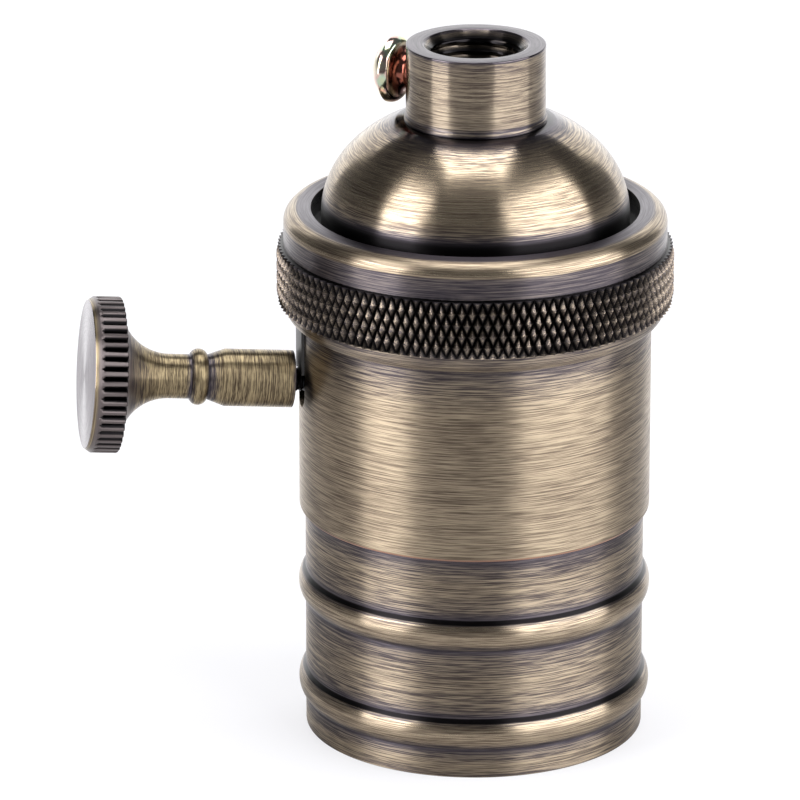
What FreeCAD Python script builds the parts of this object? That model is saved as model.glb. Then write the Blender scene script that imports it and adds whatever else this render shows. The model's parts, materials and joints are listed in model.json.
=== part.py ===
import FreeCAD, Part
import math
import os
from FreeCAD import Vector

# Lamp holder for a screw-cap lamp, with a turn-knob switch. Millimetres, +Z up.
# The origin is the centre of the bottom rim. The neck points to +Z and the knob to -X.

# ---- outer shell: one spun tube, standing on its rim ----
UPPER_R = 17.8             # outside of the upper cylinder
UPPER_WALL = 1.0
SLEEVE_INSET = 0.6         # sleeve inside the upper cylinder's surface
SLEEVE_WALL = 0.9
SHELL_TOP_Z = 50.6
STEP_DROP = 27.35          # foot of the upper cylinder below the shell's top
STEP_ROUND = 0.5
RIM_ROUND = 0.3
BEAD_HEIGHT = 0.7          # how far each bead stands out
BEAD_LOW_Z = 3.0
BEAD_SPACING = 10.55
BEAD_WIDTH = 3.25
THREAD_INSET = 0.5         # crest of the collar thread inside the upper cylinder's surface
THREAD_ROOT_WALL = 0.8
THREAD_LENGTH = 6.0
SLOT_WIDTH = 4.0
SLOT_DROP = 2.9            # slot's end below the spindle's axis

# ---- clearances ----
THREAD_FIT = 0.15          # radial gap of the collar's plain thread surfaces
RUN_FIT = 0.05             # spindle in its bearings
SEAT_FIT = 0.05            # between faces that meet when the collar is tight
LOOSE_FIT = 0.1
CORE_FIT = 0.25            # core in the shell's threaded end
BARREL_FIT = 0.5           # core in the shell's sleeve
CUT_OVER = 1.0             # how far a cut runs past the surface

# ---- knurled collar ----
COLLAR_BAND_OUT = 1.5      # plain band outside the upper cylinder
COLLAR_LIP_OUT = 0.2
COLLAR_LIP_LENGTH = 1.24   # lip below the shell's thread
COLLAR_WEB = 2.05
COLLAR_WEB_REACH = 0.9     # web inside the collar's bore
LIP_BULGE = 0.75           # middle of the lip's curve, outwards
LIP_BULGE_RISE = 0.8
KNURL_OUT = 0.7            # peaks outside the plain band
KNURL_DEPTH = 0.42
KNURL_START = 1.94         # knurl above the collar's lower end
KNURL_HEIGHT = 5.8
KNURL_COUNT = 120          # diamonds round the collar
KNURL_STEPS = 5            # half heights of a diamond over the band
SHOULDER_ROUND = 1.55
SHOULDER_DROP = 1.4

# ---- dome cap ----
CAP_FLANGE_T = 1.0
CORE_FLANGE_T = 1.1
DOME_FIT = 1.05            # dome in the collar's hole
DOME_FOOT = 1.55           # start of the dome's curve, above the collar's web
DOME_RISE = 10.73
DOME_CROWN_R = 2.0         # centre of the curve, out from the axis
DOME_WALL = 1.0
DOME_SEAT_MARGIN = 0.73    # flat on top, outside the neck's lip

# ---- threaded neck ----
NECK_R = 7.0
NECK_HEIGHT = 7.85
NECK_LIP = 0.17
NECK_LIP_HEIGHT = 0.55
NECK_WALL = 2.5
NECK_MOUTH_WIDTH = 0.8
NECK_MOUTH_DEPTH = 0.8
NECK_TAIL_WALL = 1.0
SWAGE_WIDTH = 1.1
SWAGE_T = 0.75

# ---- lock screw in the neck ----
LOCK_HEIGHT = 4.0          # axis above the dome's flat
LOCK_TURN = 143.8          # direction of the screw, degrees from +X
LOCK_SHANK_R = 1.75
LOCK_HEAD_R = 3.4
LOCK_HEAD_T = 2.3
LOCK_HEAD_RIM = 0.5
LOCK_STANDOFF = 1.8        # head's underside from the neck
LOCK_SLOT_WIDTH = 0.9
LOCK_SLOT_DEPTH = 1.0
LOCK_TIP_INSET = 0.2       # tip kept outside the neck's bore

# ---- spindle and knob, along the spindle's own axis ----
SPINDLE_DROP = 13.1        # axis at the shell's surface, below the shell's top
SPINDLE_TILT = 4.4         # degrees that the axis rises outwards
SPINDLE_R = 1.25
KNOB_GAP = 0.9             # stem end from the shell
STEM_R = 2.9
STEM_LENGTH = 6.9
STEM_NECK_INSET = 0.65
STEM_TAPER_LENGTH = 1.8
KNOB_BEAD_HEIGHT = 0.6
KNOB_BEAD_LENGTH = 1.75
STEM_WAIST_LENGTH = 2.1
KNOB_R = 7.85
KNOB_BACK_EDGE = 0.55      # flat ring behind the flutes
KNOB_THICKNESS = 3.3
KNOB_BEVEL = 0.6
KNOB_CROWN = 0.4
FLUTE_COUNT = 48
FLUTE_DEPTH = 0.45
KNOB_HOLE_DEPTH = 6.0

# ---- core: two mouldings joined by long screws ----
BARREL_DROP = 7.0          # joint between the mouldings, below the spindle's axis
BARREL_FLOOR = 4.4
BARREL_BOTTOM_Z = 0.8
BARREL_WALL = 1.8
POCKET_SIDE = 0.7          # pocket wall outside the detent spring
POCKET_END = 0.8           # pocket wall behind the switch frame
POCKET_ROOM = 2.0          # pocket's ceiling above the turning contact

# ---- lamp's screw shell, knuckle thread of the 27 mm cap ----
LAMP_PITCH = 3.629
LAMP_SHEET = 0.35
LAMP_FIT = 0.2             # screw shell in the barrel's bore
LAMP_LIP_LENGTH = 2.4
LAMP_LIP_STEP = 0.05       # thread's run-out inside the lip
LAMP_MAJOR_INSET = 0.17
LAMP_THREAD_DEPTH = 1.1
LAMP_TOP_INSET = 0.75
LAMP_TOP_LENGTH = 1.2
LAMP_BOTTOM_Z = 1.0
LAMP_FADE = 2.0            # length over which the thread runs out
LAMP_COLUMNS = 36          # facets round the rolled sheet
LAMP_STEPS = 6             # facets along one turn
LAMP_FLANGE_HOLE_R = 7.0

# ---- switch ----
FRAME_SHEET = 0.8
FRAME_FRONT = 3.4          # front ear, inwards from the shell's surface
FRAME_HALF_WIDTH = 4.5
EAR_HALF_WIDTH = 3.5
EAR_DROP = 3.5
FRAME_END_GAP = 0.6        # rear ear behind the rotor
ROTOR_FRONT = 7.6
DRUM_LENGTH = 2.6
CAM_LENGTH = 2.0
ROTOR_R = 3.6
CAM_SQUARE = 6.4
CAM_CORNER_R = 4.0
BRIDGE_R = 4.0
BRIDGE_HALF_WIDTH = 1.5
BRIDGE_SHEET = 0.5
STRIP_GAP = 1.0            # contact strips outside the turning contact
STRIP_SHEET = 0.6
STRIP_WIDTH = 2.9
DIMPLE_R = 0.8
SPRING_SHEET = 0.4
SPRING_GAP = 0.2           # spring's legs outside the strips
FRAME_SCREW_INSET = 5.8
FRAME_SCREW_REACH = 4.0    # thread of the frame screw in the block
FRAME_SCREW_HEAD = 0.2     # head outside the shank
FRAME_SCREW_HEAD_T = 0.9

# ---- terminals and screws ----
TERMINAL_PLATE = 1.2
TERMINAL_X = -5.5
TERMINAL_OUT = 2.8         # screw outside the contact strip
TERMINAL_SCREW_R = 1.75
TERMINAL_HEAD_R = 3.0
TERMINAL_HEAD_T = 2.5
TERMINAL_SCREW_LENGTH = 5.0
TERMINAL_FIT = 0.7         # terminal plates in the dome
CORE_SCREW_X = 5.5
CORE_SCREW_INSET = 6.5     # core screws inside the barrel's surface
CORE_SCREW_R = 1.5
CORE_HEAD_R = 2.75
CORE_HEAD_T = 2.0
DRIVER_SLOT = 0.8          # width of the slots in the small screws
NUT_ACROSS = 5.5
NUT_T = 2.4

# ---- centre contact ----
CONTACT_SHEET = 0.5
CONTACT_HALF_WIDTH = 3.0
CONTACT_REACH = 4.0
CONTACT_BEND_R = 1.6
CONTACT_SLOPE = 8.0
RIVET_R = 1.2
RIVET_HEAD_R = 2.0
RIVET_HEAD_T = 0.8

# ---- slot cover ----
COVER_PROUD = 0.3
COVER_SIDE_FIT = 0.05
COVER_RISE = 1.0           # cover's lower end above the spindle's axis

# ---- derived sizes and places ----
SLEEVE_R = UPPER_R - SLEEVE_INSET
THREAD_R = UPPER_R - THREAD_INSET
THREAD_INNER_R = THREAD_R - THREAD_ROOT_WALL
UPPER_INNER_R = UPPER_R - UPPER_WALL
SLEEVE_INNER_R = SLEEVE_R - SLEEVE_WALL
STEP_Z = SHELL_TOP_Z - STEP_DROP
BEAD_HIGH_Z = BEAD_LOW_Z + BEAD_SPACING
THREAD_START_Z = SHELL_TOP_Z - THREAD_LENGTH
SPINDLE_Z = SHELL_TOP_Z - SPINDLE_DROP
SLOT_BOTTOM_Z = SPINDLE_Z - SLOT_DROP
COVER_BOTTOM_Z = SPINDLE_Z + COVER_RISE
COLLAR_BORE_R = THREAD_R + THREAD_FIT
COLLAR_HOLE_R = COLLAR_BORE_R - COLLAR_WEB_REACH
COLLAR_BAND_R = UPPER_R + COLLAR_BAND_OUT
COLLAR_LIP_R = UPPER_R + COLLAR_LIP_OUT
COLLAR_BOTTOM_Z = THREAD_START_Z - COLLAR_LIP_LENGTH
KNURL_R = COLLAR_BAND_R + KNURL_OUT
KNURL_LOW_Z = COLLAR_BOTTOM_Z + KNURL_START
SHOULDER_R = COLLAR_BAND_R - SHOULDER_ROUND
CAP_FLANGE_R = COLLAR_BORE_R - THREAD_FIT
CORE_FLANGE_R = CAP_FLANGE_R - LOOSE_FIT
BLOCK_TOP_Z = SHELL_TOP_Z + CORE_FLANGE_T
BLOCK_R = THREAD_INNER_R - CORE_FIT
CAP_BOTTOM_Z = BLOCK_TOP_Z + SEAT_FIT
CAP_FLANGE_Z = CAP_BOTTOM_Z + CAP_FLANGE_T
COLLAR_WEB_Z = CAP_FLANGE_Z + SEAT_FIT
COLLAR_TOP_Z = COLLAR_WEB_Z + COLLAR_WEB
DOME_R = COLLAR_HOLE_R - DOME_FIT
DOME_SEAT_R = NECK_R + NECK_LIP + DOME_SEAT_MARGIN
DOME_Z = COLLAR_WEB_Z + DOME_FOOT
DOME_SEAT_LEAN = (DOME_SEAT_R - DOME_CROWN_R) / (DOME_R - DOME_CROWN_R)
DOME_SEAT_Z = DOME_Z + DOME_RISE * math.sqrt(1 - DOME_SEAT_LEAN ** 2)
NECK_TOP_Z = DOME_SEAT_Z + NECK_HEIGHT
NECK_BORE_R = NECK_R - NECK_WALL
NECK_MOUTH_R = NECK_BORE_R + NECK_MOUTH_WIDTH
NECK_TAIL_R = NECK_BORE_R + NECK_TAIL_WALL
SWAGE_R = NECK_TAIL_R + SWAGE_WIDTH
LOCK_Z = DOME_SEAT_Z + LOCK_HEIGHT
STEM_NECK_R = STEM_R - STEM_NECK_INSET
KNOB_BEAD_R = STEM_NECK_R + KNOB_BEAD_HEIGHT
KNOB_COVE_R = KNOB_R - KNOB_BACK_EDGE - STEM_NECK_R
BARREL_TOP_Z = SPINDLE_Z - BARREL_DROP
BARREL_FLOOR_Z = BARREL_TOP_Z - BARREL_FLOOR
BARREL_R = SLEEVE_INNER_R - BARREL_FIT
BARREL_BORE_R = BARREL_R - BARREL_WALL
LAMP_LIP_R = BARREL_BORE_R - LAMP_FIT - LAMP_SHEET
LAMP_MAJOR_R = LAMP_LIP_R - LAMP_MAJOR_INSET
LAMP_MINOR_R = LAMP_MAJOR_R - LAMP_THREAD_DEPTH
LAMP_TOP_R = LAMP_LIP_R - LAMP_TOP_INSET
ROTOR_SPLIT = ROTOR_FRONT + DRUM_LENGTH
ROTOR_REAR = ROTOR_SPLIT + CAM_LENGTH
FRAME_REAR = ROTOR_REAR + FRAME_END_GAP
BRIDGE_FRONT = ROTOR_FRONT - BRIDGE_SHEET
STRIP_Y = BRIDGE_R + STRIP_GAP
SPRING_HALF_WIDTH = STRIP_Y + STRIP_SHEET + SPRING_GAP
POCKET_HALF_WIDTH = SPRING_HALF_WIDTH + POCKET_SIDE
POCKET_DEPTH = FRAME_REAR + FRAME_SHEET + POCKET_END
POCKET_CEILING = BRIDGE_R + POCKET_ROOM
TERMINAL_Y = STRIP_Y + TERMINAL_OUT
TERMINAL_EDGE_R = DOME_R - DOME_WALL - TERMINAL_FIT
CORE_SCREW_Y = BARREL_R - CORE_SCREW_INSET


def spindle_point(depth):
    """Return the point of the spindle's axis that lies `depth` inwards from the shell."""
    tilt = math.radians(SPINDLE_TILT)
    return Vector(-UPPER_R + depth * math.cos(tilt), 0, SPINDLE_Z - depth * math.sin(tilt))


def on_spindle(shape):
    """Move a shape built with the spindle along +X and the shell's surface at 0."""
    shape.rotate(Vector(0, 0, 0), Vector(0, 0, 1), 180)
    shape.rotate(Vector(0, 0, 0), Vector(0, 1, 0), SPINDLE_TILT)
    shape.translate(spindle_point(0))
    return shape


def box(x0, x1, y0, y1, z0, z1):
    return Part.makeBox(x1 - x0, y1 - y0, z1 - z0, Vector(x0, y0, z0))


def rod(radius, z0, z1, x=0.0, y=0.0):
    return Part.makeCylinder(radius, z1 - z0, Vector(x, y, z0))


def rod_x(radius, x0, x1):
    return Part.makeCylinder(radius, x1 - x0, Vector(x0, 0, 0), Vector(1, 0, 0))


def outline(start, steps):
    """Return the edges of a closed outline in the XZ plane.

    A step is an end point (r, z) for a line, or a pair (middle, end) for an arc.
    """
    edges = []
    here = Vector(start[0], 0, start[1])
    for step in list(steps) + [start]:
        if isinstance(step[0], tuple):
            middle, end = step
            there = Vector(end[0], 0, end[1])
            edges.append(Part.Arc(here, Vector(middle[0], 0, middle[1]), there).toShape())
        else:
            there = Vector(step[0], 0, step[1])
            if here.distanceToPoint(there) > 1e-6:
                edges.append(Part.makeLine(here, there))
        here = there
    return edges


def lathe(edges):
    """Turn a closed outline about Z."""
    face = Part.Face(Part.Wire(edges))
    return face.revolve(Vector(0, 0, 0), Vector(0, 0, 1), 360)


def lathe_x(edges):
    """Turn an outline, given as (r, distance), about the X axis."""
    solid = lathe(edges)
    solid.rotate(Vector(0, 0, 0), Vector(0, 1, 0), 90)
    return solid


def corner_arc(cx, cz, radius, angle):
    """Return the point of a circle in the XZ plane at an angle in degrees."""
    turn = math.radians(angle)
    return (cx + radius * math.cos(turn), cz + radius * math.sin(turn))


def crown_step(radius, height, base):
    """Return the arc step of a domed end, from (radius, base) up to the axis."""
    ball_r = (radius ** 2 + height ** 2) / (2 * height)
    half_turn = math.asin(radius / ball_r) / 2
    centre = base + height - ball_r
    return ((ball_r * math.sin(half_turn), centre + ball_r * math.cos(half_turn)), (0, base + height))


def bead_steps(z0):
    """Return the steps of one rolled bead on the sleeve."""
    middle = (SLEEVE_R + BEAD_HEIGHT, z0 + BEAD_WIDTH / 2)
    return [(SLEEVE_R, z0), (middle, (SLEEVE_R, z0 + BEAD_WIDTH))]


def make_outer_shell():
    rim = corner_arc(SLEEVE_R - RIM_ROUND, RIM_ROUND, RIM_ROUND, -45)
    edge_r = UPPER_R - STEP_ROUND
    step = corner_arc(edge_r, STEP_Z + STEP_ROUND, STEP_ROUND, -45)
    steps = [(SLEEVE_R - RIM_ROUND, 0), (rim, (SLEEVE_R, RIM_ROUND))]
    steps += bead_steps(BEAD_LOW_Z)
    steps += bead_steps(BEAD_HIGH_Z)
    steps += [(SLEEVE_R, STEP_Z), (edge_r, STEP_Z), (step, (UPPER_R, STEP_Z + STEP_ROUND))]
    steps += [(UPPER_R, THREAD_START_Z), (THREAD_R, THREAD_START_Z), (THREAD_R, SHELL_TOP_Z)]
    steps += [(THREAD_INNER_R, SHELL_TOP_Z), (THREAD_INNER_R, THREAD_START_Z - UPPER_WALL)]
    steps += [(UPPER_INNER_R, THREAD_START_Z - UPPER_WALL), (UPPER_INNER_R, STEP_Z + SLEEVE_WALL)]
    steps += [(SLEEVE_INNER_R, STEP_Z + SLEEVE_WALL)]
    shell = lathe(outline((SLEEVE_INNER_R, 0), steps))
    half = SLOT_WIDTH / 2
    round_z = SLOT_BOTTOM_Z + half
    slot = box(-UPPER_R - CUT_OVER, -UPPER_R / 2, -half, half, round_z, SHELL_TOP_Z + CUT_OVER)
    start = Vector(-UPPER_R - CUT_OVER, 0, round_z)
    bottom = Part.makeCylinder(half, UPPER_R / 2 + CUT_OVER, start, Vector(1, 0, 0))
    return shell.cut(slot.fuse(bottom))


def make_slot_cover():
    half = SLOT_WIDTH / 2 - COVER_SIDE_FIT
    proud_top = COLLAR_BOTTOM_Z - LOOSE_FIT
    low = box(-UPPER_R - CUT_OVER, 0, -half, half, COVER_BOTTOM_Z, proud_top)
    low = low.common(rod(UPPER_R + COVER_PROUD, COVER_BOTTOM_Z, proud_top))
    high = box(-UPPER_R, 0, -half, half, proud_top, SHELL_TOP_Z)
    high = high.common(rod(THREAD_R, proud_top, SHELL_TOP_Z))
    cover = low.fuse(high).cut(rod(BLOCK_R, COVER_BOTTOM_Z - CUT_OVER, SHELL_TOP_Z + CUT_OVER))
    return cover.cut(on_spindle(rod_x(SPINDLE_R + LOOSE_FIT, -2 * UPPER_WALL, 2 * CUT_OVER)))


def sewn_solid(faces):
    """Join faces that meet edge to edge into one solid."""
    skin = Part.makeCompound(faces)
    skin.sewShape()
    solid = Part.makeSolid(skin.Shells[0])
    if solid.Volume < 0:
        solid.reverse()
    return solid


def knurl_point(column, row):
    """Return a node of the knurl: peaks and valleys alternate along both directions."""
    turn = column * math.pi / KNURL_COUNT
    z = KNURL_LOW_Z + row * KNURL_HEIGHT / KNURL_STEPS
    radius = KNURL_R
    if (column + row) % 2 == 0:
        radius -= KNURL_DEPTH
    elif row in (0, KNURL_STEPS):
        radius -= KNURL_DEPTH / 2
    return Vector(radius * math.cos(turn), radius * math.sin(turn), z)


def triangle(a, b, c):
    return Part.Face(Part.makePolygon([a, b, c, a]))


def knurl_faces():
    """Return the small pyramids that the crossed cuts leave."""
    faces = []
    last = KNURL_STEPS
    for row in range(last + 1):
        for column in range((row + 1) % 2, 2 * KNURL_COUNT, 2):
            peak = knurl_point(column, row)
            left = knurl_point(column - 1, row)
            right = knurl_point(column + 1, row)
            if row > 0:
                below = knurl_point(column, row - 1)
                faces.append(triangle(peak, left, below))
                faces.append(triangle(peak, below, right))
            if row < last:
                above = knurl_point(column, row + 1)
                faces.append(triangle(peak, right, above))
                faces.append(triangle(peak, above, left))
    return faces


def knurl_end(row, radius):
    """Return the flat face between a circle and one end of the knurl."""
    points = [knurl_point(column, row) for column in range(2 * KNURL_COUNT)]
    outer = Part.makePolygon(points + [points[0]])
    inner = Part.Wire(Part.makeCircle(radius, Vector(0, 0, points[0].z)))
    return Part.Face([outer, inner])


def open_lathe(edges):
    """Turn an open outline about Z into faces."""
    return Part.Wire(edges).revolve(Vector(0, 0, 0), Vector(0, 0, 1), 360).Faces


def make_knurled_collar():
    knurl_top = KNURL_LOW_Z + KNURL_HEIGHT
    lip_r = UPPER_R + LOOSE_FIT
    counterbore_z = THREAD_START_Z + COLLAR_LIP_R - UPPER_R + LOOSE_FIT
    lip_spread = COLLAR_BAND_R - COLLAR_LIP_R
    lip_middle = (COLLAR_LIP_R + LIP_BULGE * lip_spread, COLLAR_BOTTOM_Z + LIP_BULGE_RISE)
    shoulder_z = COLLAR_TOP_Z - SHOULDER_DROP
    spread = COLLAR_BAND_R - SHOULDER_R
    lean = math.sqrt(0.5)
    shoulder_middle = (SHOULDER_R + spread * lean, shoulder_z + SHOULDER_DROP * lean)
    steps = [(shoulder_middle, (SHOULDER_R, COLLAR_TOP_Z))]
    steps += [(COLLAR_HOLE_R, COLLAR_TOP_Z), (COLLAR_HOLE_R, COLLAR_WEB_Z), (COLLAR_BORE_R, COLLAR_WEB_Z)]
    steps += [(COLLAR_BORE_R, counterbore_z), (lip_r, counterbore_z), (lip_r, COLLAR_BOTTOM_Z)]
    steps += [(COLLAR_LIP_R, COLLAR_BOTTOM_Z), (lip_middle, (COLLAR_BAND_R, KNURL_LOW_Z))]
    band_top = (COLLAR_BAND_R, shoulder_z)
    edges = [Part.makeLine(Vector(COLLAR_BAND_R, 0, knurl_top), Vector(COLLAR_BAND_R, 0, shoulder_z))]
    edges += outline(band_top, steps)[:-1]
    faces = open_lathe(edges)
    faces.append(knurl_end(0, COLLAR_BAND_R))
    faces.append(knurl_end(KNURL_STEPS, COLLAR_BAND_R))
    faces += knurl_faces()
    return sewn_solid(faces)


def dome_arc(radius, rise, top_z):
    """Return the quarter of the dome's ellipse from its equator up to top_z."""
    centre = Vector(DOME_CROWN_R, 0, DOME_Z)
    ellipse = Part.Ellipse(Vector(radius, 0, DOME_Z), Vector(DOME_CROWN_R, 0, DOME_Z + rise), centre)
    end = math.asin((top_z - DOME_Z) / rise)
    return Part.ArcOfEllipse(ellipse, 0, end).toShape()


def make_dome_cap():
    inner_r = DOME_R - DOME_WALL
    under_z = DOME_SEAT_Z - DOME_WALL
    outer = dome_arc(DOME_R, DOME_RISE, DOME_SEAT_Z)
    inner = dome_arc(inner_r, DOME_RISE - DOME_WALL, under_z)
    hole = NECK_TAIL_R
    flange = [(inner_r, CAP_BOTTOM_Z), (CAP_FLANGE_R, CAP_BOTTOM_Z)]
    flange += [(CAP_FLANGE_R, CAP_FLANGE_Z), (DOME_R, CAP_FLANGE_Z)]
    corners = [inner.Vertexes[0].Point] + [Vector(r, 0, z) for r, z in flange] + [outer.Vertexes[0].Point]
    top = [outer.Vertexes[-1].Point, Vector(hole, 0, DOME_SEAT_Z), Vector(hole, 0, under_z),
           inner.Vertexes[-1].Point]
    edges = [Part.makeLine(a, b) for a, b in zip(corners, corners[1:])]
    edges += [outer] + [Part.makeLine(a, b) for a, b in zip(top, top[1:])] + [inner]
    return lathe(edges)


def lock_screw_axis():
    turn = math.radians(LOCK_TURN)
    return Vector(math.cos(turn), math.sin(turn), 0)


def lock_rod(radius, start, end):
    axis = lock_screw_axis()
    return Part.makeCylinder(radius, end - start, Vector(0, 0, LOCK_Z) + axis * start, axis)


def make_threaded_neck():
    under_z = DOME_SEAT_Z - DOME_WALL
    lip_r = NECK_R + NECK_LIP
    steps = [(NECK_MOUTH_R, NECK_TOP_Z), (NECK_R, NECK_TOP_Z), (NECK_R, DOME_SEAT_Z + NECK_LIP_HEIGHT)]
    steps += [(lip_r, DOME_SEAT_Z + NECK_LIP_HEIGHT - NECK_LIP), (lip_r, DOME_SEAT_Z)]
    steps += [(NECK_TAIL_R, DOME_SEAT_Z)]
    steps += [(NECK_TAIL_R, under_z), (SWAGE_R, under_z), (SWAGE_R, under_z - SWAGE_T)]
    steps += [(NECK_BORE_R, under_z - SWAGE_T)]
    neck = lathe(outline((NECK_BORE_R, NECK_TOP_Z - NECK_MOUTH_DEPTH), steps))
    return neck.cut(lock_rod(LOCK_SHANK_R + LOOSE_FIT, 0, NECK_R + CUT_OVER))


def make_neck_lock_screw():
    under = NECK_R + LOCK_STANDOFF
    shank = lock_rod(LOCK_SHANK_R, NECK_BORE_R + LOCK_TIP_INSET, under)
    rim = under + LOCK_HEAD_RIM
    crown = crown_step(LOCK_HEAD_R, LOCK_HEAD_T - LOCK_HEAD_RIM, rim)
    head = lathe_x(outline((0, under), [(LOCK_HEAD_R, under), (LOCK_HEAD_R, rim), crown]))
    reach = LOCK_HEAD_R + CUT_OVER
    slot = box(under + LOCK_HEAD_T - LOCK_SLOT_DEPTH, under + LOCK_HEAD_T + CUT_OVER, -reach, reach,
               -LOCK_SLOT_WIDTH / 2, LOCK_SLOT_WIDTH / 2)
    head = head.cut(slot)
    head.rotate(Vector(0, 0, 0), Vector(0, 0, 1), LOCK_TURN)
    head.translate(Vector(0, 0, LOCK_Z))
    return head.fuse(shank)


def flute_ring(radius, depth, count, x0, x1):
    """Return a prism along X with a toothed rim."""
    points = []
    for index in range(2 * count):
        turn = index * math.pi / count
        reach = radius if index % 2 else radius - depth
        points.append(Vector(x0, reach * math.cos(turn), reach * math.sin(turn)))
    return Part.Face(Part.makePolygon(points + [points[0]])).extrude(Vector(x1 - x0, 0, 0))


def make_knob():
    taper_end = STEM_LENGTH + STEM_TAPER_LENGTH
    bead_end = taper_end + KNOB_BEAD_LENGTH
    cove_start = bead_end + STEM_WAIST_LENGTH
    back = cove_start + KNOB_COVE_R
    front = back + KNOB_THICKNESS
    cove_r = STEM_NECK_R + KNOB_COVE_R
    bead_middle = (KNOB_BEAD_R, taper_end + KNOB_BEAD_LENGTH / 2)
    cove_middle = corner_arc(cove_r, cove_start, KNOB_COVE_R, 135)
    hole_r = SPINDLE_R
    steps = [(hole_r, KNOB_HOLE_DEPTH), (hole_r, 0), (STEM_R, 0), (STEM_R, STEM_LENGTH)]
    steps += [(STEM_NECK_R, taper_end), (bead_middle, (STEM_NECK_R, bead_end)), (STEM_NECK_R, cove_start)]
    steps += [(cove_middle, (cove_r, back)), (0, back)]
    stem = lathe_x(outline((0, KNOB_HOLE_DEPTH), steps))
    face = [(KNOB_R, back), (KNOB_R, front - KNOB_BEVEL), (KNOB_R - KNOB_BEVEL, front)]
    face += [crown_step(KNOB_R - KNOB_BEVEL, KNOB_CROWN, front)]
    disc = lathe_x(outline((0, back), face))
    rim = flute_ring(KNOB_R, FLUTE_DEPTH, FLUTE_COUNT, back, front + KNOB_CROWN + CUT_OVER)
    knob = disc.common(rim).fuse(stem)
    knob.translate(Vector(KNOB_GAP, 0, 0))
    return on_spindle(knob)


def make_spindle():
    return on_spindle(rod_x(SPINDLE_R, -FRAME_REAR - FRAME_SHEET - SEAT_FIT, KNOB_GAP + KNOB_HOLE_DEPTH))


def make_switch_rotor():
    drum = rod_x(ROTOR_R, -ROTOR_SPLIT, -ROTOR_FRONT)
    half = CAM_SQUARE / 2
    cam = box(-ROTOR_REAR, -ROTOR_SPLIT, -half, half, -half, half)
    cam = cam.common(rod_x(CAM_CORNER_R, -ROTOR_REAR, -ROTOR_SPLIT))
    return on_spindle(drum.fuse(cam).cut(rod_x(SPINDLE_R, -ROTOR_REAR - CUT_OVER, 0)))


def make_rotor_contact():
    disc = rod_x(BRIDGE_R, -ROTOR_FRONT, -BRIDGE_FRONT)
    strip = box(-ROTOR_FRONT, -BRIDGE_FRONT, -BRIDGE_R, BRIDGE_R, -BRIDGE_HALF_WIDTH, BRIDGE_HALF_WIDTH)
    return on_spindle(disc.common(strip).cut(rod_x(SPINDLE_R, -ROTOR_FRONT - CUT_OVER, 0)))


def make_switch_frame():
    top = POCKET_CEILING
    under = top - FRAME_SHEET
    rear = -FRAME_REAR - FRAME_SHEET
    frame = box(rear, -FRAME_FRONT, -FRAME_HALF_WIDTH, FRAME_HALF_WIDTH, under, top)
    for depth in (FRAME_FRONT, FRAME_REAR):
        ear = box(-depth - FRAME_SHEET, -depth, -EAR_HALF_WIDTH, EAR_HALF_WIDTH, -EAR_DROP, under)
        frame = frame.fuse(ear)
    frame = frame.cut(rod_x(SPINDLE_R + RUN_FIT, rear - CUT_OVER, 0))
    frame = frame.cut(rod(RIVET_R, under - CUT_OVER, top + CUT_OVER, -FRAME_SCREW_INSET))
    return on_spindle(frame.removeSplitter())


def frame_screw_solid(radius):
    return rod(radius, POCKET_CEILING - FRAME_SHEET, POCKET_CEILING + FRAME_SCREW_REACH, -FRAME_SCREW_INSET)


def make_frame_screw():
    under = POCKET_CEILING - FRAME_SHEET
    head = rod(RIVET_R + FRAME_SCREW_HEAD, under - FRAME_SCREW_HEAD_T, under, -FRAME_SCREW_INSET)
    return on_spindle(head.fuse(frame_screw_solid(RIVET_R)))


def make_detent_spring():
    middle = spindle_point((ROTOR_SPLIT + ROTOR_REAR) / 2)
    lowest = spindle_point(ROTOR_REAR).z - CAM_SQUARE / 2 - LOOSE_FIT
    half_length = (ROTOR_REAR - ROTOR_SPLIT) / 2 - LOOSE_FIT
    x0 = middle.x - half_length
    x1 = middle.x + half_length
    wide = SPRING_HALF_WIDTH
    bridge = box(x0, x1, -wide, wide, lowest - SPRING_SHEET, lowest)
    for side in (-1, 1):
        y0 = min(side * wide, side * (wide - SPRING_SHEET))
        bridge = bridge.fuse(box(x0, x1, y0, y0 + SPRING_SHEET, BARREL_TOP_Z, lowest))
    return bridge.removeSplitter()


def strip_leg(side, z0, z1):
    """Return the upright contact strip on one side of the rotor, with its dimple."""
    point = spindle_point((ROTOR_FRONT + BRIDGE_FRONT) / 2)
    y0 = STRIP_Y if side > 0 else -STRIP_Y - STRIP_SHEET
    x0 = point.x - STRIP_WIDTH / 2
    leg = box(x0, x0 + STRIP_WIDTH, y0, y0 + STRIP_SHEET, z0, z1)
    tip = BRIDGE_R + RUN_FIT
    dimple = Part.makeCylinder(DIMPLE_R, STRIP_Y - tip + STRIP_SHEET / 2,
                               Vector(point.x, side * tip, point.z), Vector(0, side, 0))
    return leg.fuse(dimple)


def terminal_hole(side, radius, z0, z1):
    return rod(radius, z0, z1, TERMINAL_X, side * TERMINAL_Y)


def make_live_terminal():
    top = BLOCK_TOP_Z + TERMINAL_PLATE
    point = spindle_point((ROTOR_FRONT + BRIDGE_FRONT) / 2)
    x0 = point.x - STRIP_WIDTH / 2
    plate = box(x0, TERMINAL_X + TERMINAL_HEAD_R, STRIP_Y, TERMINAL_Y + TERMINAL_HEAD_R, BLOCK_TOP_Z, top)
    plate = plate.common(rod(TERMINAL_EDGE_R, BLOCK_TOP_Z, top))
    terminal = plate.fuse(strip_leg(1, point.z - STRIP_WIDTH / 2, top))
    hole = terminal_hole(1, TERMINAL_SCREW_R + LOOSE_FIT, BLOCK_TOP_Z - CUT_OVER, top + CUT_OVER)
    return terminal.cut(hole).removeSplitter()


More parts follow.
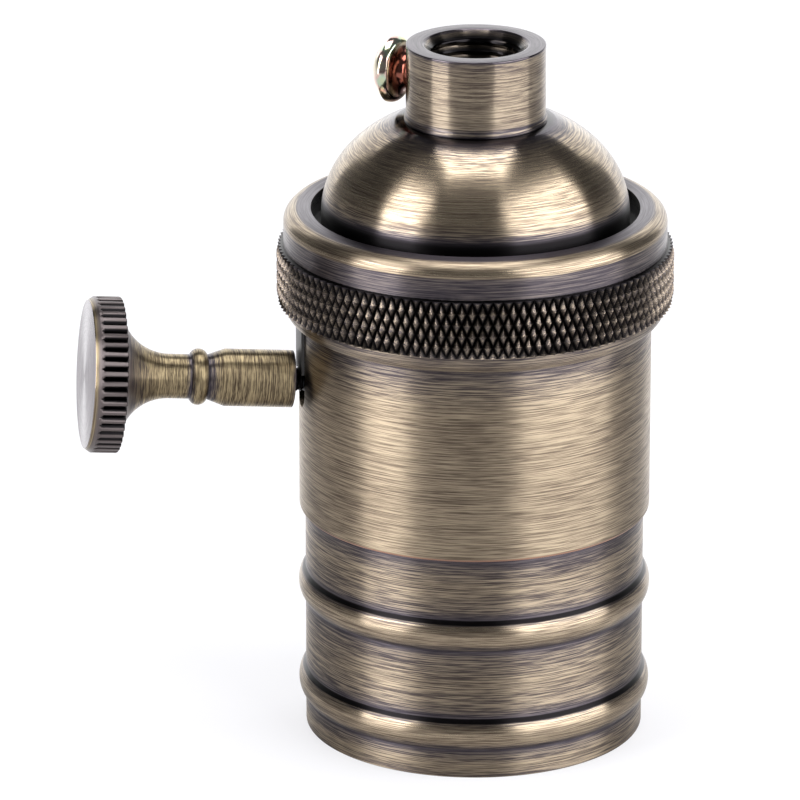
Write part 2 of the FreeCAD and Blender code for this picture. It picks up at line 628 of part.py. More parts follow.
def make_neutral_terminal():
    top = BLOCK_TOP_Z + TERMINAL_PLATE
    y0 = -TERMINAL_Y - TERMINAL_HEAD_R
    plate = box(TERMINAL_X - TERMINAL_HEAD_R, CORE_SCREW_X + CORE_HEAD_R, y0, -STRIP_Y, BLOCK_TOP_Z, top)
    lug = box(CORE_SCREW_X - CORE_HEAD_R, CORE_SCREW_X + CORE_HEAD_R, -CORE_SCREW_Y - CORE_HEAD_R, -STRIP_Y,
              BLOCK_TOP_Z, top)
    plate = plate.fuse(lug).common(rod(TERMINAL_EDGE_R, BLOCK_TOP_Z, top))
    below = BLOCK_TOP_Z - CUT_OVER
    above = top + CUT_OVER
    plate = plate.cut(core_screw_hole(-1, CORE_SCREW_R, below, above))
    plate = plate.cut(terminal_hole(-1, TERMINAL_SCREW_R + LOOSE_FIT, below, above))
    return plate.removeSplitter()


def make_load_strip():
    point = spindle_point((ROTOR_FRONT + BRIDGE_FRONT) / 2)
    x0 = point.x - STRIP_WIDTH / 2
    x1 = x0 + STRIP_WIDTH
    outer_y = -STRIP_Y - STRIP_SHEET
    end = RIVET_HEAD_R
    corners = [(x0, outer_y), (x1, outer_y), (end, -end), (end, end), (-end, end)]
    corners += [(x0, outer_y + STRIP_WIDTH)]
    points = [Vector(x, y, BARREL_TOP_Z) for x, y in corners]
    foot = Part.Face(Part.makePolygon(points + [points[0]])).extrude(Vector(0, 0, STRIP_SHEET))
    strip = foot.fuse(strip_leg(-1, BARREL_TOP_Z, point.z + STRIP_WIDTH / 2))
    return strip.cut(rod(RIVET_R, BARREL_TOP_Z - CUT_OVER, BARREL_TOP_Z + CUT_OVER)).removeSplitter()


def core_screw_hole(side, radius, z0, z1):
    return rod(radius, z0, z1, CORE_SCREW_X, side * CORE_SCREW_Y)


def hexagon(across, z0, z1, x, y):
    reach = across / math.sqrt(3)
    turns = [math.radians(60 * k) for k in range(6)]
    points = [Vector(x + reach * math.cos(a), y + reach * math.sin(a), z0) for a in turns]
    return Part.Face(Part.makePolygon(points + [points[0]])).extrude(Vector(0, 0, z1 - z0))


def make_core_block():
    block = rod(BLOCK_R, BARREL_TOP_Z, BLOCK_TOP_Z).fuse(rod(CORE_FLANGE_R, SHELL_TOP_Z, BLOCK_TOP_Z))
    wide = POCKET_HALF_WIDTH
    pocket = box(-POCKET_DEPTH, UPPER_R / 4, -wide, wide, -2 * UPPER_R, POCKET_CEILING)
    block = block.cut(on_spindle(pocket))
    block = block.cut(on_spindle(frame_screw_solid(RIVET_R)))
    point = spindle_point((ROTOR_FRONT + BRIDGE_FRONT) / 2)
    half = STRIP_WIDTH / 2 + LOOSE_FIT
    channel = box(point.x - half, point.x + half, STRIP_Y - LOOSE_FIT, STRIP_Y + STRIP_SHEET + LOOSE_FIT,
                  SPINDLE_Z, BLOCK_TOP_Z + CUT_OVER)
    block = block.cut(channel)
    recess = RIVET_HEAD_R + 2 * LOOSE_FIT
    block = block.cut(box(-POCKET_DEPTH / 2, recess, -wide, recess, BARREL_TOP_Z - CUT_OVER,
                          BARREL_TOP_Z + STRIP_SHEET + RIVET_HEAD_T + LOOSE_FIT))
    depth = TERMINAL_SCREW_LENGTH + LOOSE_FIT
    above = BLOCK_TOP_Z + CUT_OVER
    for side in (-1, 1):
        hole = terminal_hole(side, TERMINAL_SCREW_R + 2 * LOOSE_FIT, BLOCK_TOP_Z - depth, above)
        block = block.cut(hole)
        block = block.cut(core_screw_hole(side, CORE_SCREW_R + LOOSE_FIT, BARREL_TOP_Z - CUT_OVER, above))
    return block.removeSplitter()


def make_core_barrel():
    barrel = rod(BARREL_R, BARREL_BOTTOM_Z, BARREL_TOP_Z)
    below = BARREL_FLOOR_Z - CUT_OVER
    above = BARREL_TOP_Z + CUT_OVER
    barrel = barrel.cut(rod(BARREL_BORE_R, BARREL_BOTTOM_Z - CUT_OVER, BARREL_FLOOR_Z))
    barrel = barrel.cut(rod(RIVET_R, below, above))
    for side in (-1, 1):
        barrel = barrel.cut(core_screw_hole(side, CORE_SCREW_R + LOOSE_FIT, below, above))
        pocket = hexagon(NUT_ACROSS + 2 * LOOSE_FIT, below, BARREL_FLOOR_Z + NUT_T + LOOSE_FIT, CORE_SCREW_X,
                         side * CORE_SCREW_Y)
        barrel = barrel.cut(pocket)
    return barrel


def make_core_screw(side):
    seat = BLOCK_TOP_Z + (TERMINAL_PLATE if side < 0 else 0)
    head = core_screw_hole(side, CORE_HEAD_R, seat, seat + CORE_HEAD_T)
    shank = core_screw_hole(side, CORE_SCREW_R, BARREL_FLOOR_Z + LOOSE_FIT, seat)
    y = side * CORE_SCREW_Y
    half = DRIVER_SLOT / 2
    slot = box(CORE_SCREW_X - CORE_HEAD_R, CORE_SCREW_X + CORE_HEAD_R, y - half, y + half,
               seat + CORE_HEAD_T / 2, seat + CORE_HEAD_T + CUT_OVER)
    return head.cut(slot).fuse(shank)


def make_core_nut(side):
    z0 = BARREL_FLOOR_Z + LOOSE_FIT
    nut = hexagon(NUT_ACROSS, z0, z0 + NUT_T, CORE_SCREW_X, side * CORE_SCREW_Y)
    return nut.cut(core_screw_hole(side, CORE_SCREW_R, z0 - CUT_OVER, z0 + NUT_T + CUT_OVER))


def make_terminal_screw(side):
    seat = BLOCK_TOP_Z + TERMINAL_PLATE
    head = terminal_hole(side, TERMINAL_HEAD_R, seat + SEAT_FIT, seat + TERMINAL_HEAD_T)
    x0 = TERMINAL_X - TERMINAL_HEAD_R
    y = side * TERMINAL_Y
    half = DRIVER_SLOT / 2
    slot = box(x0, x0 + 2 * TERMINAL_HEAD_R, y - half, y + half, seat + TERMINAL_HEAD_T / 2,
               seat + TERMINAL_HEAD_T + CUT_OVER)
    shank = terminal_hole(side, TERMINAL_SCREW_R, seat - TERMINAL_SCREW_LENGTH, seat + SEAT_FIT)
    return head.cut(slot).fuse(shank)


def fade(z, z0, z1):
    """Rise smoothly from 0 at z0 to 1 at z1."""
    share = min(max((z - z0) / (z1 - z0), 0.0), 1.0)
    return share * share * (3 - 2 * share)


def lamp_radius(turn, z):
    """Return the inner radius of the lamp's screw shell."""
    low = LAMP_BOTTOM_Z + LAMP_LIP_LENGTH
    high = BARREL_FLOOR_Z - LAMP_SHEET - LAMP_TOP_LENGTH
    rise = fade(z, low, low + LAMP_FADE)
    fall = 1 - fade(z, high - LAMP_FADE, high)
    mean = (LAMP_MAJOR_R + LAMP_MINOR_R) / 2
    wave = (LAMP_MAJOR_R - LAMP_MINOR_R) / 2 * rise * fall
    start = LAMP_LIP_R - LAMP_LIP_STEP
    base = start + (mean - start) * rise
    base += (LAMP_TOP_R - mean) * (1 - fall)
    return base + wave * math.cos(2 * math.pi * z / LAMP_PITCH - turn)


def lamp_heights(top):
    """Return the heights of the rings of facets above the lip."""
    low = LAMP_BOTTOM_Z + LAMP_LIP_LENGTH
    high = BARREL_FLOOR_Z - LAMP_SHEET - LAMP_TOP_LENGTH
    count = round((high - low) / LAMP_PITCH * LAMP_STEPS)
    return [low + (high - low) * step / count for step in range(count + 1)] + [top]


def lamp_ring(offset, z):
    """Return one ring of points on the rolled sheet, moved outwards by an offset."""
    points = []
    for column in range(LAMP_COLUMNS):
        turn = 2 * math.pi * column / LAMP_COLUMNS
        radius = lamp_radius(turn, z) + offset
        points.append(Vector(radius * math.cos(turn), radius * math.sin(turn), z))
    return points


def lamp_faces(offset, top):
    """Return the facets of one side of the rolled sheet."""
    rings = [lamp_ring(offset, z) for z in lamp_heights(top)]
    faces = []
    for low, high in zip(rings, rings[1:]):
        for column in range(LAMP_COLUMNS):
            after = (column + 1) % LAMP_COLUMNS
            faces.append(triangle(low[column], low[after], high[column]))
            faces.append(triangle(low[after], high[after], high[column]))
    return faces


def ring_wire(points):
    return Part.makePolygon(points + [points[0]])


def circle_wire(radius, z):
    return Part.Wire(Part.makeCircle(radius, Vector(0, 0, z)))


def tube_face(radius, z0, z1):
    return Part.makeCylinder(radius, z1 - z0, Vector(0, 0, z0)).Faces[0]


def make_screw_shell():
    top = BARREL_FLOOR_Z
    under = top - LAMP_SHEET
    bottom = LAMP_BOTTOM_Z
    joint = bottom + LAMP_LIP_LENGTH
    inner = LAMP_LIP_R
    outer = LAMP_LIP_R + LAMP_SHEET
    hole = LAMP_FLANGE_HOLE_R
    rings = [(circle_wire(outer, bottom), circle_wire(inner, bottom)),
             (circle_wire(inner, joint), ring_wire(lamp_ring(0, joint))),
             (circle_wire(outer, joint), ring_wire(lamp_ring(LAMP_SHEET, joint))),
             (ring_wire(lamp_ring(0, under)), circle_wire(hole, under)),
             (ring_wire(lamp_ring(LAMP_SHEET, top)), circle_wire(hole, top))]
    faces = [Part.makeFace(list(pair), "Part::FaceMakerBullseye") for pair in rings]
    faces += [tube_face(inner, bottom, joint), tube_face(outer, bottom, joint), tube_face(hole, under, top)]
    return sewn_solid(faces + lamp_faces(0, under) + lamp_faces(LAMP_SHEET, top))


def make_centre_contact():
    top = BARREL_FLOOR_Z
    sheet = CONTACT_SHEET
    half = CONTACT_HALF_WIDTH
    bend_z = top - CONTACT_BEND_R
    low = top - 2 * CONTACT_BEND_R
    base = box(-half, CONTACT_REACH, -half, half, top - sheet, top)
    ring = Part.makeCylinder(CONTACT_BEND_R, 2 * half, Vector(CONTACT_REACH, -half, bend_z), Vector(0, 1, 0))
    hollow = Part.makeCylinder(CONTACT_BEND_R - sheet, 2 * half, Vector(CONTACT_REACH, -half, bend_z),
                               Vector(0, 1, 0))
    reach = CONTACT_REACH + 2 * CONTACT_BEND_R
    keep = box(CONTACT_REACH, reach, -half, half, low - CUT_OVER, top + CUT_OVER)
    bend = ring.cut(hollow).common(keep)
    tongue = box(-half, CONTACT_REACH, -half, half, low, low + sheet)
    tongue.rotate(Vector(CONTACT_REACH, 0, low + sheet / 2), Vector(0, 1, 0), -CONTACT_SLOPE)
    contact = base.fuse(bend).fuse(tongue)
    return contact.cut(rod(RIVET_R, top - sheet - LOOSE_FIT, top + CUT_OVER)).removeSplitter()


def make_centre_rivet():
    top = BARREL_TOP_Z + STRIP_SHEET
    under = BARREL_FLOOR_Z - CONTACT_SHEET
    rivet = rod(RIVET_R, under, top).fuse(rod(RIVET_HEAD_R, top, top + RIVET_HEAD_T))
    return rivet.fuse(rod(RIVET_HEAD_R, under - RIVET_HEAD_T, under))


def build():
    return {
        "outer_shell": make_outer_shell(),
        "slot_cover": make_slot_cover(),
        "knurled_collar": make_knurled_collar(),
        "dome_cap": make_dome_cap(),
        "threaded_neck": make_threaded_neck(),
        "neck_lock_screw": make_neck_lock_screw(),
        "knob": make_knob(),
        "spindle": make_spindle(),
        "switch_rotor": make_switch_rotor(),
        "rotor_contact": make_rotor_contact(),
        "switch_frame": make_switch_frame(),
        "frame_screw": make_frame_screw(),
        "detent_spring": make_detent_spring(),
        "live_terminal": make_live_terminal(),
        "neutral_terminal": make_neutral_terminal(),
        "load_strip": make_load_strip(),
        "core_block": make_core_block(),
        "core_barrel": make_core_barrel(),
        "core_screw_live": make_core_screw(1),
        "core_screw_neutral": make_core_screw(-1),
        "core_nut_live": make_core_nut(1),
        "core_nut_neutral": make_core_nut(-1),
        "terminal_screw_live": make_terminal_screw(1),
        "terminal_screw_neutral": make_terminal_screw(-1),
        "screw_shell": make_screw_shell(),
        "centre_contact": make_centre_contact(),
        "centre_rivet": make_centre_rivet(),
    }


os.makedirs("parts", exist_ok=True)
for name, shape in build().items():
    shape.exportStep(os.path.join("parts", name + ".step"))
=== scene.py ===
"""Looks of an antique-brass lamp holder with a turn-knob switch, in metres, +Z up."""

import json
import logging
import math
from collections.abc import Iterator, Sequence
from dataclasses import dataclass
from enum import Enum

import bpy
from mathutils import Matrix, Vector


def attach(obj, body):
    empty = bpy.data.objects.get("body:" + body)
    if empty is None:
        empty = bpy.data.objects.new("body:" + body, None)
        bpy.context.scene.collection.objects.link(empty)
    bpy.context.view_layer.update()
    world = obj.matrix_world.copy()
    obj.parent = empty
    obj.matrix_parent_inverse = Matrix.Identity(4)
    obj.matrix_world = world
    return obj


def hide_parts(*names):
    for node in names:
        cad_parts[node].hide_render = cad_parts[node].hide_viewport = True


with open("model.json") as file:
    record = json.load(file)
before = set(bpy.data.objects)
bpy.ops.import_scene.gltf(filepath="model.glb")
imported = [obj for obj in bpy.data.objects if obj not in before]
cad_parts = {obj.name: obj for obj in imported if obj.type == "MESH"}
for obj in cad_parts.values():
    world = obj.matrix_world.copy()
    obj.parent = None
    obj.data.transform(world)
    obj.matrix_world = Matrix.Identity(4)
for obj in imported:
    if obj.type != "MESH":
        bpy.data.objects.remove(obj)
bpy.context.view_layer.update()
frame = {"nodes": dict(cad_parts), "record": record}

LOG = logging.getLogger("lamp_holder")

Point = tuple[float, float]
Profile = list[Point]
Colour = tuple[float, float, float, float]
Piece = bpy.types.Object
Socket = bpy.types.NodeSocket

FULL_TURN = 2 * math.pi
MERGE_DISTANCE = 1e-7
FILLET_STEPS = 4
NEAR = 2e-5  # how close a vertex lies to the surface that a thread is cut in
ANYWHERE = (0.05, 0.06)  # radii past the whole holder, for the bands of stain and of painted light that only their heights limit


class Axis(Enum):
    """The axis that a piece is turned about, as the Tangent node names it."""

    X = "X"
    Z = "Z"


class Hand(Enum):
    """Which side of the metal a thread is cut in."""

    OUTSIDE = -1
    INSIDE = 1


# ---- outlines ----


def ellipse(centre: Point, across: float, rise: float, start: float, end: float, steps: int) -> Profile:
    """Return points of an ellipse between two parameter angles.

    Args:
        centre: The ellipse's centre, as distance from the axis and height.
        across: The half axis away from the turning axis.
        rise: The half axis along the turning axis.
        start: The first angle in degrees, 0 away from the axis and 90 up.
        end: The last angle in degrees.
        steps: How many chords the stretch has.

    Returns:
        The points, with both ends.
    """
    points = []
    for step in range(steps + 1):
        turn = math.radians(start + (end - start) * step / steps)
        points.append((centre[0] + across * math.cos(turn), centre[1] + rise * math.sin(turn)))
    return points


def arc(centre: Point, radius: float, start: float, end: float, steps: int = 12) -> Profile:
    """Return points of a circle between two angles, as ellipse does."""
    return ellipse(centre, radius, radius, start, end, steps)


def bulge(foot: float, low: float, width: float, height: float, steps: int = 16) -> Profile:
    """Return the arc of a bead that stands out of a cylinder.

    Args:
        foot: The cylinder's radius.
        low: The bead's lower end.
        width: The bead's width along the axis.
        height: How far the bead stands out.
        steps: How many chords the arc has.

    Returns:
        The points from the lower end to the upper end.
    """
    radius = (width**2 / 4 + height**2) / (2 * height)
    half = math.degrees(math.asin(width / 2 / radius))
    return arc((foot + height - radius, low + width / 2), radius, -half, half, steps)


def span(radius: float, low: float, high: float, steps: int) -> Profile:
    """Return evenly spaced points along a line parallel to the axis."""
    return [(radius, low + (high - low) * step / steps) for step in range(steps + 1)]


def eased(outline: Sequence[Point], width: float, least_turn: float = 35.0) -> Profile:
    """Round the corners of a closed outline.

    Args:
        outline: The points, without a repeat of the first.
        width: How far a rounding reaches along each edge.
        least_turn: Corners that turn by fewer degrees stay as they are.

    Returns:
        The closed outline, with the first point repeated at its end.
    """
    points: Profile = []
    count = len(outline)
    for index, corner in enumerate(outline):
        here = Vector(corner)
        before = Vector(outline[index - 1]) - here
        after = Vector(outline[(index + 1) % count]) - here
        if before.length < MERGE_DISTANCE or after.length < MERGE_DISTANCE or corner[0] < MERGE_DISTANCE:
            points.append(corner)
            continue
        turn = 180 - math.degrees(before.angle(after))
        if turn < least_turn:
            points.append(corner)
            continue
        reach = min(width, before.length * 0.45, after.length * 0.45)
        first = here + before.normalized() * reach
        last = here + after.normalized() * reach
        for step in range(FILLET_STEPS + 1):
            share = step / FILLET_STEPS
            spot = first * (1 - share) ** 2 + here * (2 * share * (1 - share)) + last * share**2
            points.append((spot.x, spot.y))
    return points + [points[0]]


# ---- workbench ----


def deselect() -> None:
    """Leave nothing selected."""
    bpy.ops.object.select_all(action="DESELECT")


def pick(piece: Piece) -> None:
    """Select one object alone and make it the active one.

    Args:
        piece: The object.
    """
    deselect()
    piece.select_set(True)
    bpy.context.view_layer.objects.active = piece


def turned(name: str, outline: Sequence[Point], segments: int) -> Piece:
    """Turn an outline about Z, as on a lathe.

    Args:
        name: The piece's name.
        outline: Distance from the axis and height of each point, in order.
        segments: How many faces go round.

    Returns:
        The new object, at the origin.
    """
    deselect()
    bpy.ops.mesh.primitive_plane_add(size=1e-3, location=(0, 0, 0))
    piece = bpy.context.object
    piece.name = name
    piece.data.name = name
    bpy.ops.object.mode_set(mode="EDIT")
    bpy.ops.mesh.select_all(action="SELECT")
    bpy.ops.mesh.merge(type="CENTER")
    bpy.ops.transform.translate(value=(outline[0][0], 0, outline[0][1]))
    for before, after in zip(outline, outline[1:]):
        step = (after[0] - before[0], 0, after[1] - before[1])
        if math.hypot(step[0], step[2]) > MERGE_DISTANCE:
            bpy.ops.mesh.extrude_region_move(TRANSFORM_OT_translate={"value": step})
    bpy.ops.mesh.select_all(action="SELECT")
    bpy.ops.mesh.spin(steps=segments, angle=FULL_TURN, center=(0, 0, 0), axis=(0, 0, 1))
    bpy.ops.mesh.select_all(action="SELECT")
    bpy.ops.mesh.remove_doubles(threshold=MERGE_DISTANCE * 20)
    bpy.ops.mesh.normals_make_consistent(inside=False)
    bpy.ops.object.mode_set(mode="OBJECT")
    return piece


def placed(piece: Piece, matrix: Matrix) -> Piece:
    """Put a piece in its place and keep that place in its mesh.

    Args:
        piece: The piece, at the origin.
        matrix: Its turn and place.

    Returns:
        The same piece.
    """
    pick(piece)
    piece.matrix_world = matrix
    bpy.ops.object.transform_apply(location=True, rotation=True, scale=True)
    return piece


def smoothed(piece: Piece, angle: float = 30.0) -> Piece:
    """Shade a piece smooth.

    Args:
        piece: The piece.
        angle: Edges sharper than this many degrees stay sharp.

    Returns:
        The same piece.
    """
    pick(piece)
    bpy.ops.object.shade_smooth_by_angle(angle=math.radians(angle))
    return piece


def box_piece(name: str, low: Sequence[float], high: Sequence[float]) -> Piece:
    """Add a block between two corners.

    Args:
        name: The block's name.
        low: Its lowest corner.
        high: Its highest corner.

    Returns:
        The block, with its place in its mesh.
    """
    deselect()
    centre = [(a + b) / 2 for a, b in zip(low, high)]
    bpy.ops.mesh.primitive_cube_add(size=1, location=centre)
    piece = bpy.context.object
    piece.name = name
    piece.scale = [b - a for a, b in zip(low, high)]
    bpy.ops.object.transform_apply(location=True, rotation=True, scale=True)
    return piece


def cut_away(piece: Piece, cutter: Piece) -> Piece:
    """Cut one mesh out of another and delete the cutter.

    Args:
        piece: The mesh to cut.
        cutter: The mesh that is taken out of it.

    Returns:
        The cut piece.
    """
    pick(piece)
    modifier = piece.modifiers.new("cut", "BOOLEAN")
    modifier.operation = "DIFFERENCE"
    modifier.solver = "EXACT"
    modifier.object = cutter
    bpy.ops.object.modifier_apply(modifier=modifier.name)
    bpy.data.objects.remove(cutter)
    return piece


def push(vertex: bpy.types.MeshVertex, radius: float) -> None:
    """Move a vertex straight out or in to a radius."""
    share = radius / math.hypot(vertex.co.x, vertex.co.y)
    vertex.co = (vertex.co.x * share, vertex.co.y * share, vertex.co.z)


def polar(piece: Piece) -> Iterator[tuple[bpy.types.MeshVertex, float, float, float]]:
    """Yield each vertex with its angle in radians, its distance from the Z axis and its height."""
    for vertex in piece.data.vertices:
        yield vertex, math.atan2(vertex.co.y, vertex.co.x), math.hypot(vertex.co.x, vertex.co.y), vertex.co.z


@dataclass(frozen=True)
class Thread:
    """A screw thread on a stretch of a turned piece."""

    radius: float
    depth: float
    pitch: float
    low: float
    high: float
    hand: Hand = Hand.OUTSIDE
    fade: float = 1e-3

    def cut(self, piece: Piece, reach: float = NEAR) -> None:
        """Press the thread into a turned piece.

        Args:
            piece: The piece, still on the Z axis.
            reach: How close to the thread's radius a vertex has to be.
        """
        for vertex, turn, radius, z in polar(piece):
            if abs(radius - self.radius) > reach or not self.low <= z <= self.high:
                continue
            strength = min(1.0, (z - self.low) / self.fade, (self.high - z) / self.fade)
            turns = z / self.pitch - turn / FULL_TURN
            wave = abs(2 * (turns % 1) - 1)
            push(vertex, radius + self.hand.value * self.depth * strength * wave)


# ---- finishes ----


class Graph:
    """A material's nodes, with short calls for the kinds used here."""

    def __init__(self, name: str) -> None:
        """Start a new material with one surface shader.

        Args:
            name: The material's name.
        """
        self.material = bpy.data.materials.new(name)
        self.material.use_nodes = True
        self.tree = self.material.node_tree
        self.tree.nodes.clear()
        self.surface = self.add("BsdfPrincipled")
        self.add("OutputMaterial", {0: self.surface.outputs[0]})

    def add(self, kind: str, inputs: dict[int | str, object] | None = None, **options: str) -> bpy.types.Node:
        """Add a node.

        Args:
            kind: The node's type, without the word ShaderNode that starts it.
            inputs: What each input is fed, by the input's name or number.
            options: The node's own settings by name.

        Returns:
            The new node.
        """
        node = self.tree.nodes.new("ShaderNode" + kind)
        for name, setting in options.items():
            setattr(node, name, setting)
        for key, value in (inputs or {}).items():
            self.feed(node.inputs[key], value)
        return node

    def feed(self, socket: Socket, value: object) -> None:
        """Link an output to a socket, or set the socket's own value.

        Args:
            socket: The input to feed.
            value: Another node's output, or a plain value.
        """
        if isinstance(value, Socket):
            self.tree.links.new(value, socket)
        else:
            socket.default_value = value

    def put(self, name: str, value: object) -> None:
        """Feed the surface shader's input of that name."""
        self.feed(self.surface.inputs[name], value)

    def coordinates(self, matrix: Matrix | None = None) -> Socket:
        """Return object coordinates.

        Args:
            matrix: What carries them into a piece's own frame, if they don't stay as they are.

        Returns:
            The coordinates.
        """
        if matrix is None:
            matrix = Matrix.Identity(4)
        inputs = {"Vector": self.add("TexCoord").outputs["Object"],
                  "Rotation": matrix.to_euler("XYZ"), "Location": matrix.to_translation()}
        return self.add("Mapping", inputs).outputs[0]

    def parts(self, vector: Socket) -> list[Socket]:
        """Return a vector's three parts."""
        return list(self.add("SeparateXYZ", {0: vector}).outputs)

    def joined(self, x: object, y: object, z: object) -> Socket:
        """Return a vector of three parts."""
        return self.add("CombineXYZ", {0: x, 1: y, 2: z}).outputs[0]

    def math(self, operation: str, first: object, second: object = 0.0, third: object = 0.0) -> Socket:
        """Return the result of a sum on numbers."""
        return self.add("Math", {0: first, 1: second, 2: third}, operation=operation).outputs[0]

    def vector(self, operation: str, first: object, second: object = (0.0, 0.0, 0.0)) -> bpy.types.Node:
        """Return a node that works on vectors."""
        return self.add("VectorMath", {0: first, 1: second}, operation=operation)

    def noise(self, vector: object, scale: float, detail: float, fourth: Socket | None = None) -> Socket:
        """Return smooth noise about 0.5.

        Args:
            vector: Where the noise is read.
            scale: How many grains there are to a metre.
            detail: How many finer layers are added.
            fourth: A fourth place to read it by, if there is one.

        Returns:
            The noise.
        """
        inputs = {"Vector": vector, "Scale": scale, "Detail": detail}
        if fourth is None:
            return self.add("TexNoise", inputs, noise_dimensions="3D").outputs["Fac"]
        return self.add("TexNoise", {**inputs, "W": fourth}, noise_dimensions="4D").outputs["Fac"]

    def levels(self, value: object, low: float, high: float, start: float = 0.0, end: float = 1.0) -> Socket:
        """Stretch a value from low and high to start and end, and stop it there."""
        inputs = {"Value": value, "From Min": low, "From Max": high, "To Min": start, "To Max": end}
        return self.add("MapRange", inputs, interpolation_type="SMOOTHSTEP").outputs["Result"]

    def ramp(self, value: object, stops: Sequence[tuple[float, object]]) -> Socket:
        """Return the colour that a value has on a ramp.

        Args:
            value: The place on the ramp, from 0 to 1.
            stops: The ramp's places and their grey values or colours.

        Returns:
            The colour.
        """
        node = self.add("ValToRGB", {0: value})
        marks = node.color_ramp.elements
        while len(marks) < len(stops):
            marks.new(0.5)
        for mark, (place, shade) in zip(marks, stops):
            mark.position = place
            mark.color = shade if isinstance(shade, tuple) else (shade, shade, shade, 1)
        return node.outputs[0]

    def mix(self, share: object, first: object, second: object) -> Socket:
        """Return a mix of two colours."""
        return self.add("Mix", {0: share, 6: first, 7: second}, data_type="RGBA").outputs[2]

    def bump(self, height: Socket, distance: float, strength: float) -> None:
        """Raise the surface by a height."""
        node = self.add("Bump", {"Height": height, "Distance": distance, "Strength": strength})
        self.put("Normal", node.outputs[0])

    def tangent(self, axis: Axis) -> None:
        """Stretch highlights across a brushed grain that runs round an axis."""
        node = self.add("Tangent", direction_type="RADIAL", axis=axis.value)
        self.put("Tangent", node.outputs[0])


@dataclass(frozen=True)
class StainAndPaintedLight:
    """A band of colour laid over the metal, a real stain in some uses and painted shade and painted
    reflections in others, with the radii where it is full and clear and the heights it lies between.
    """

    full: float
    clear: float
    low: float
    high: float
    blur: float = 0.00001
    # Near black by default: the painted shade that most bands lay into hollows and grooves.
    colour: Colour = (0.012, 0.011, 0.012, 1)

    def over(self, graph: Graph, colour: Socket, radius: Socket, height: Socket) -> Socket:
        """Lay the band over a colour.

        Args:
            graph: The material's nodes.
            colour: The colour under the band.
            radius: The distance from the axis.
            height: The place along the axis.

        Returns:
            The colour with the band laid over it.
        """
        deep = graph.levels(radius, self.full, self.clear, 1.0, 0.0)
        above = graph.levels(height, self.low - self.blur, self.low)
        below = graph.levels(height, self.high, self.high + self.blur, 1.0, 0.0)
        share = graph.math("MULTIPLY", deep, graph.math("MULTIPLY", above, below))
        return graph.mix(share, colour, self.colour)


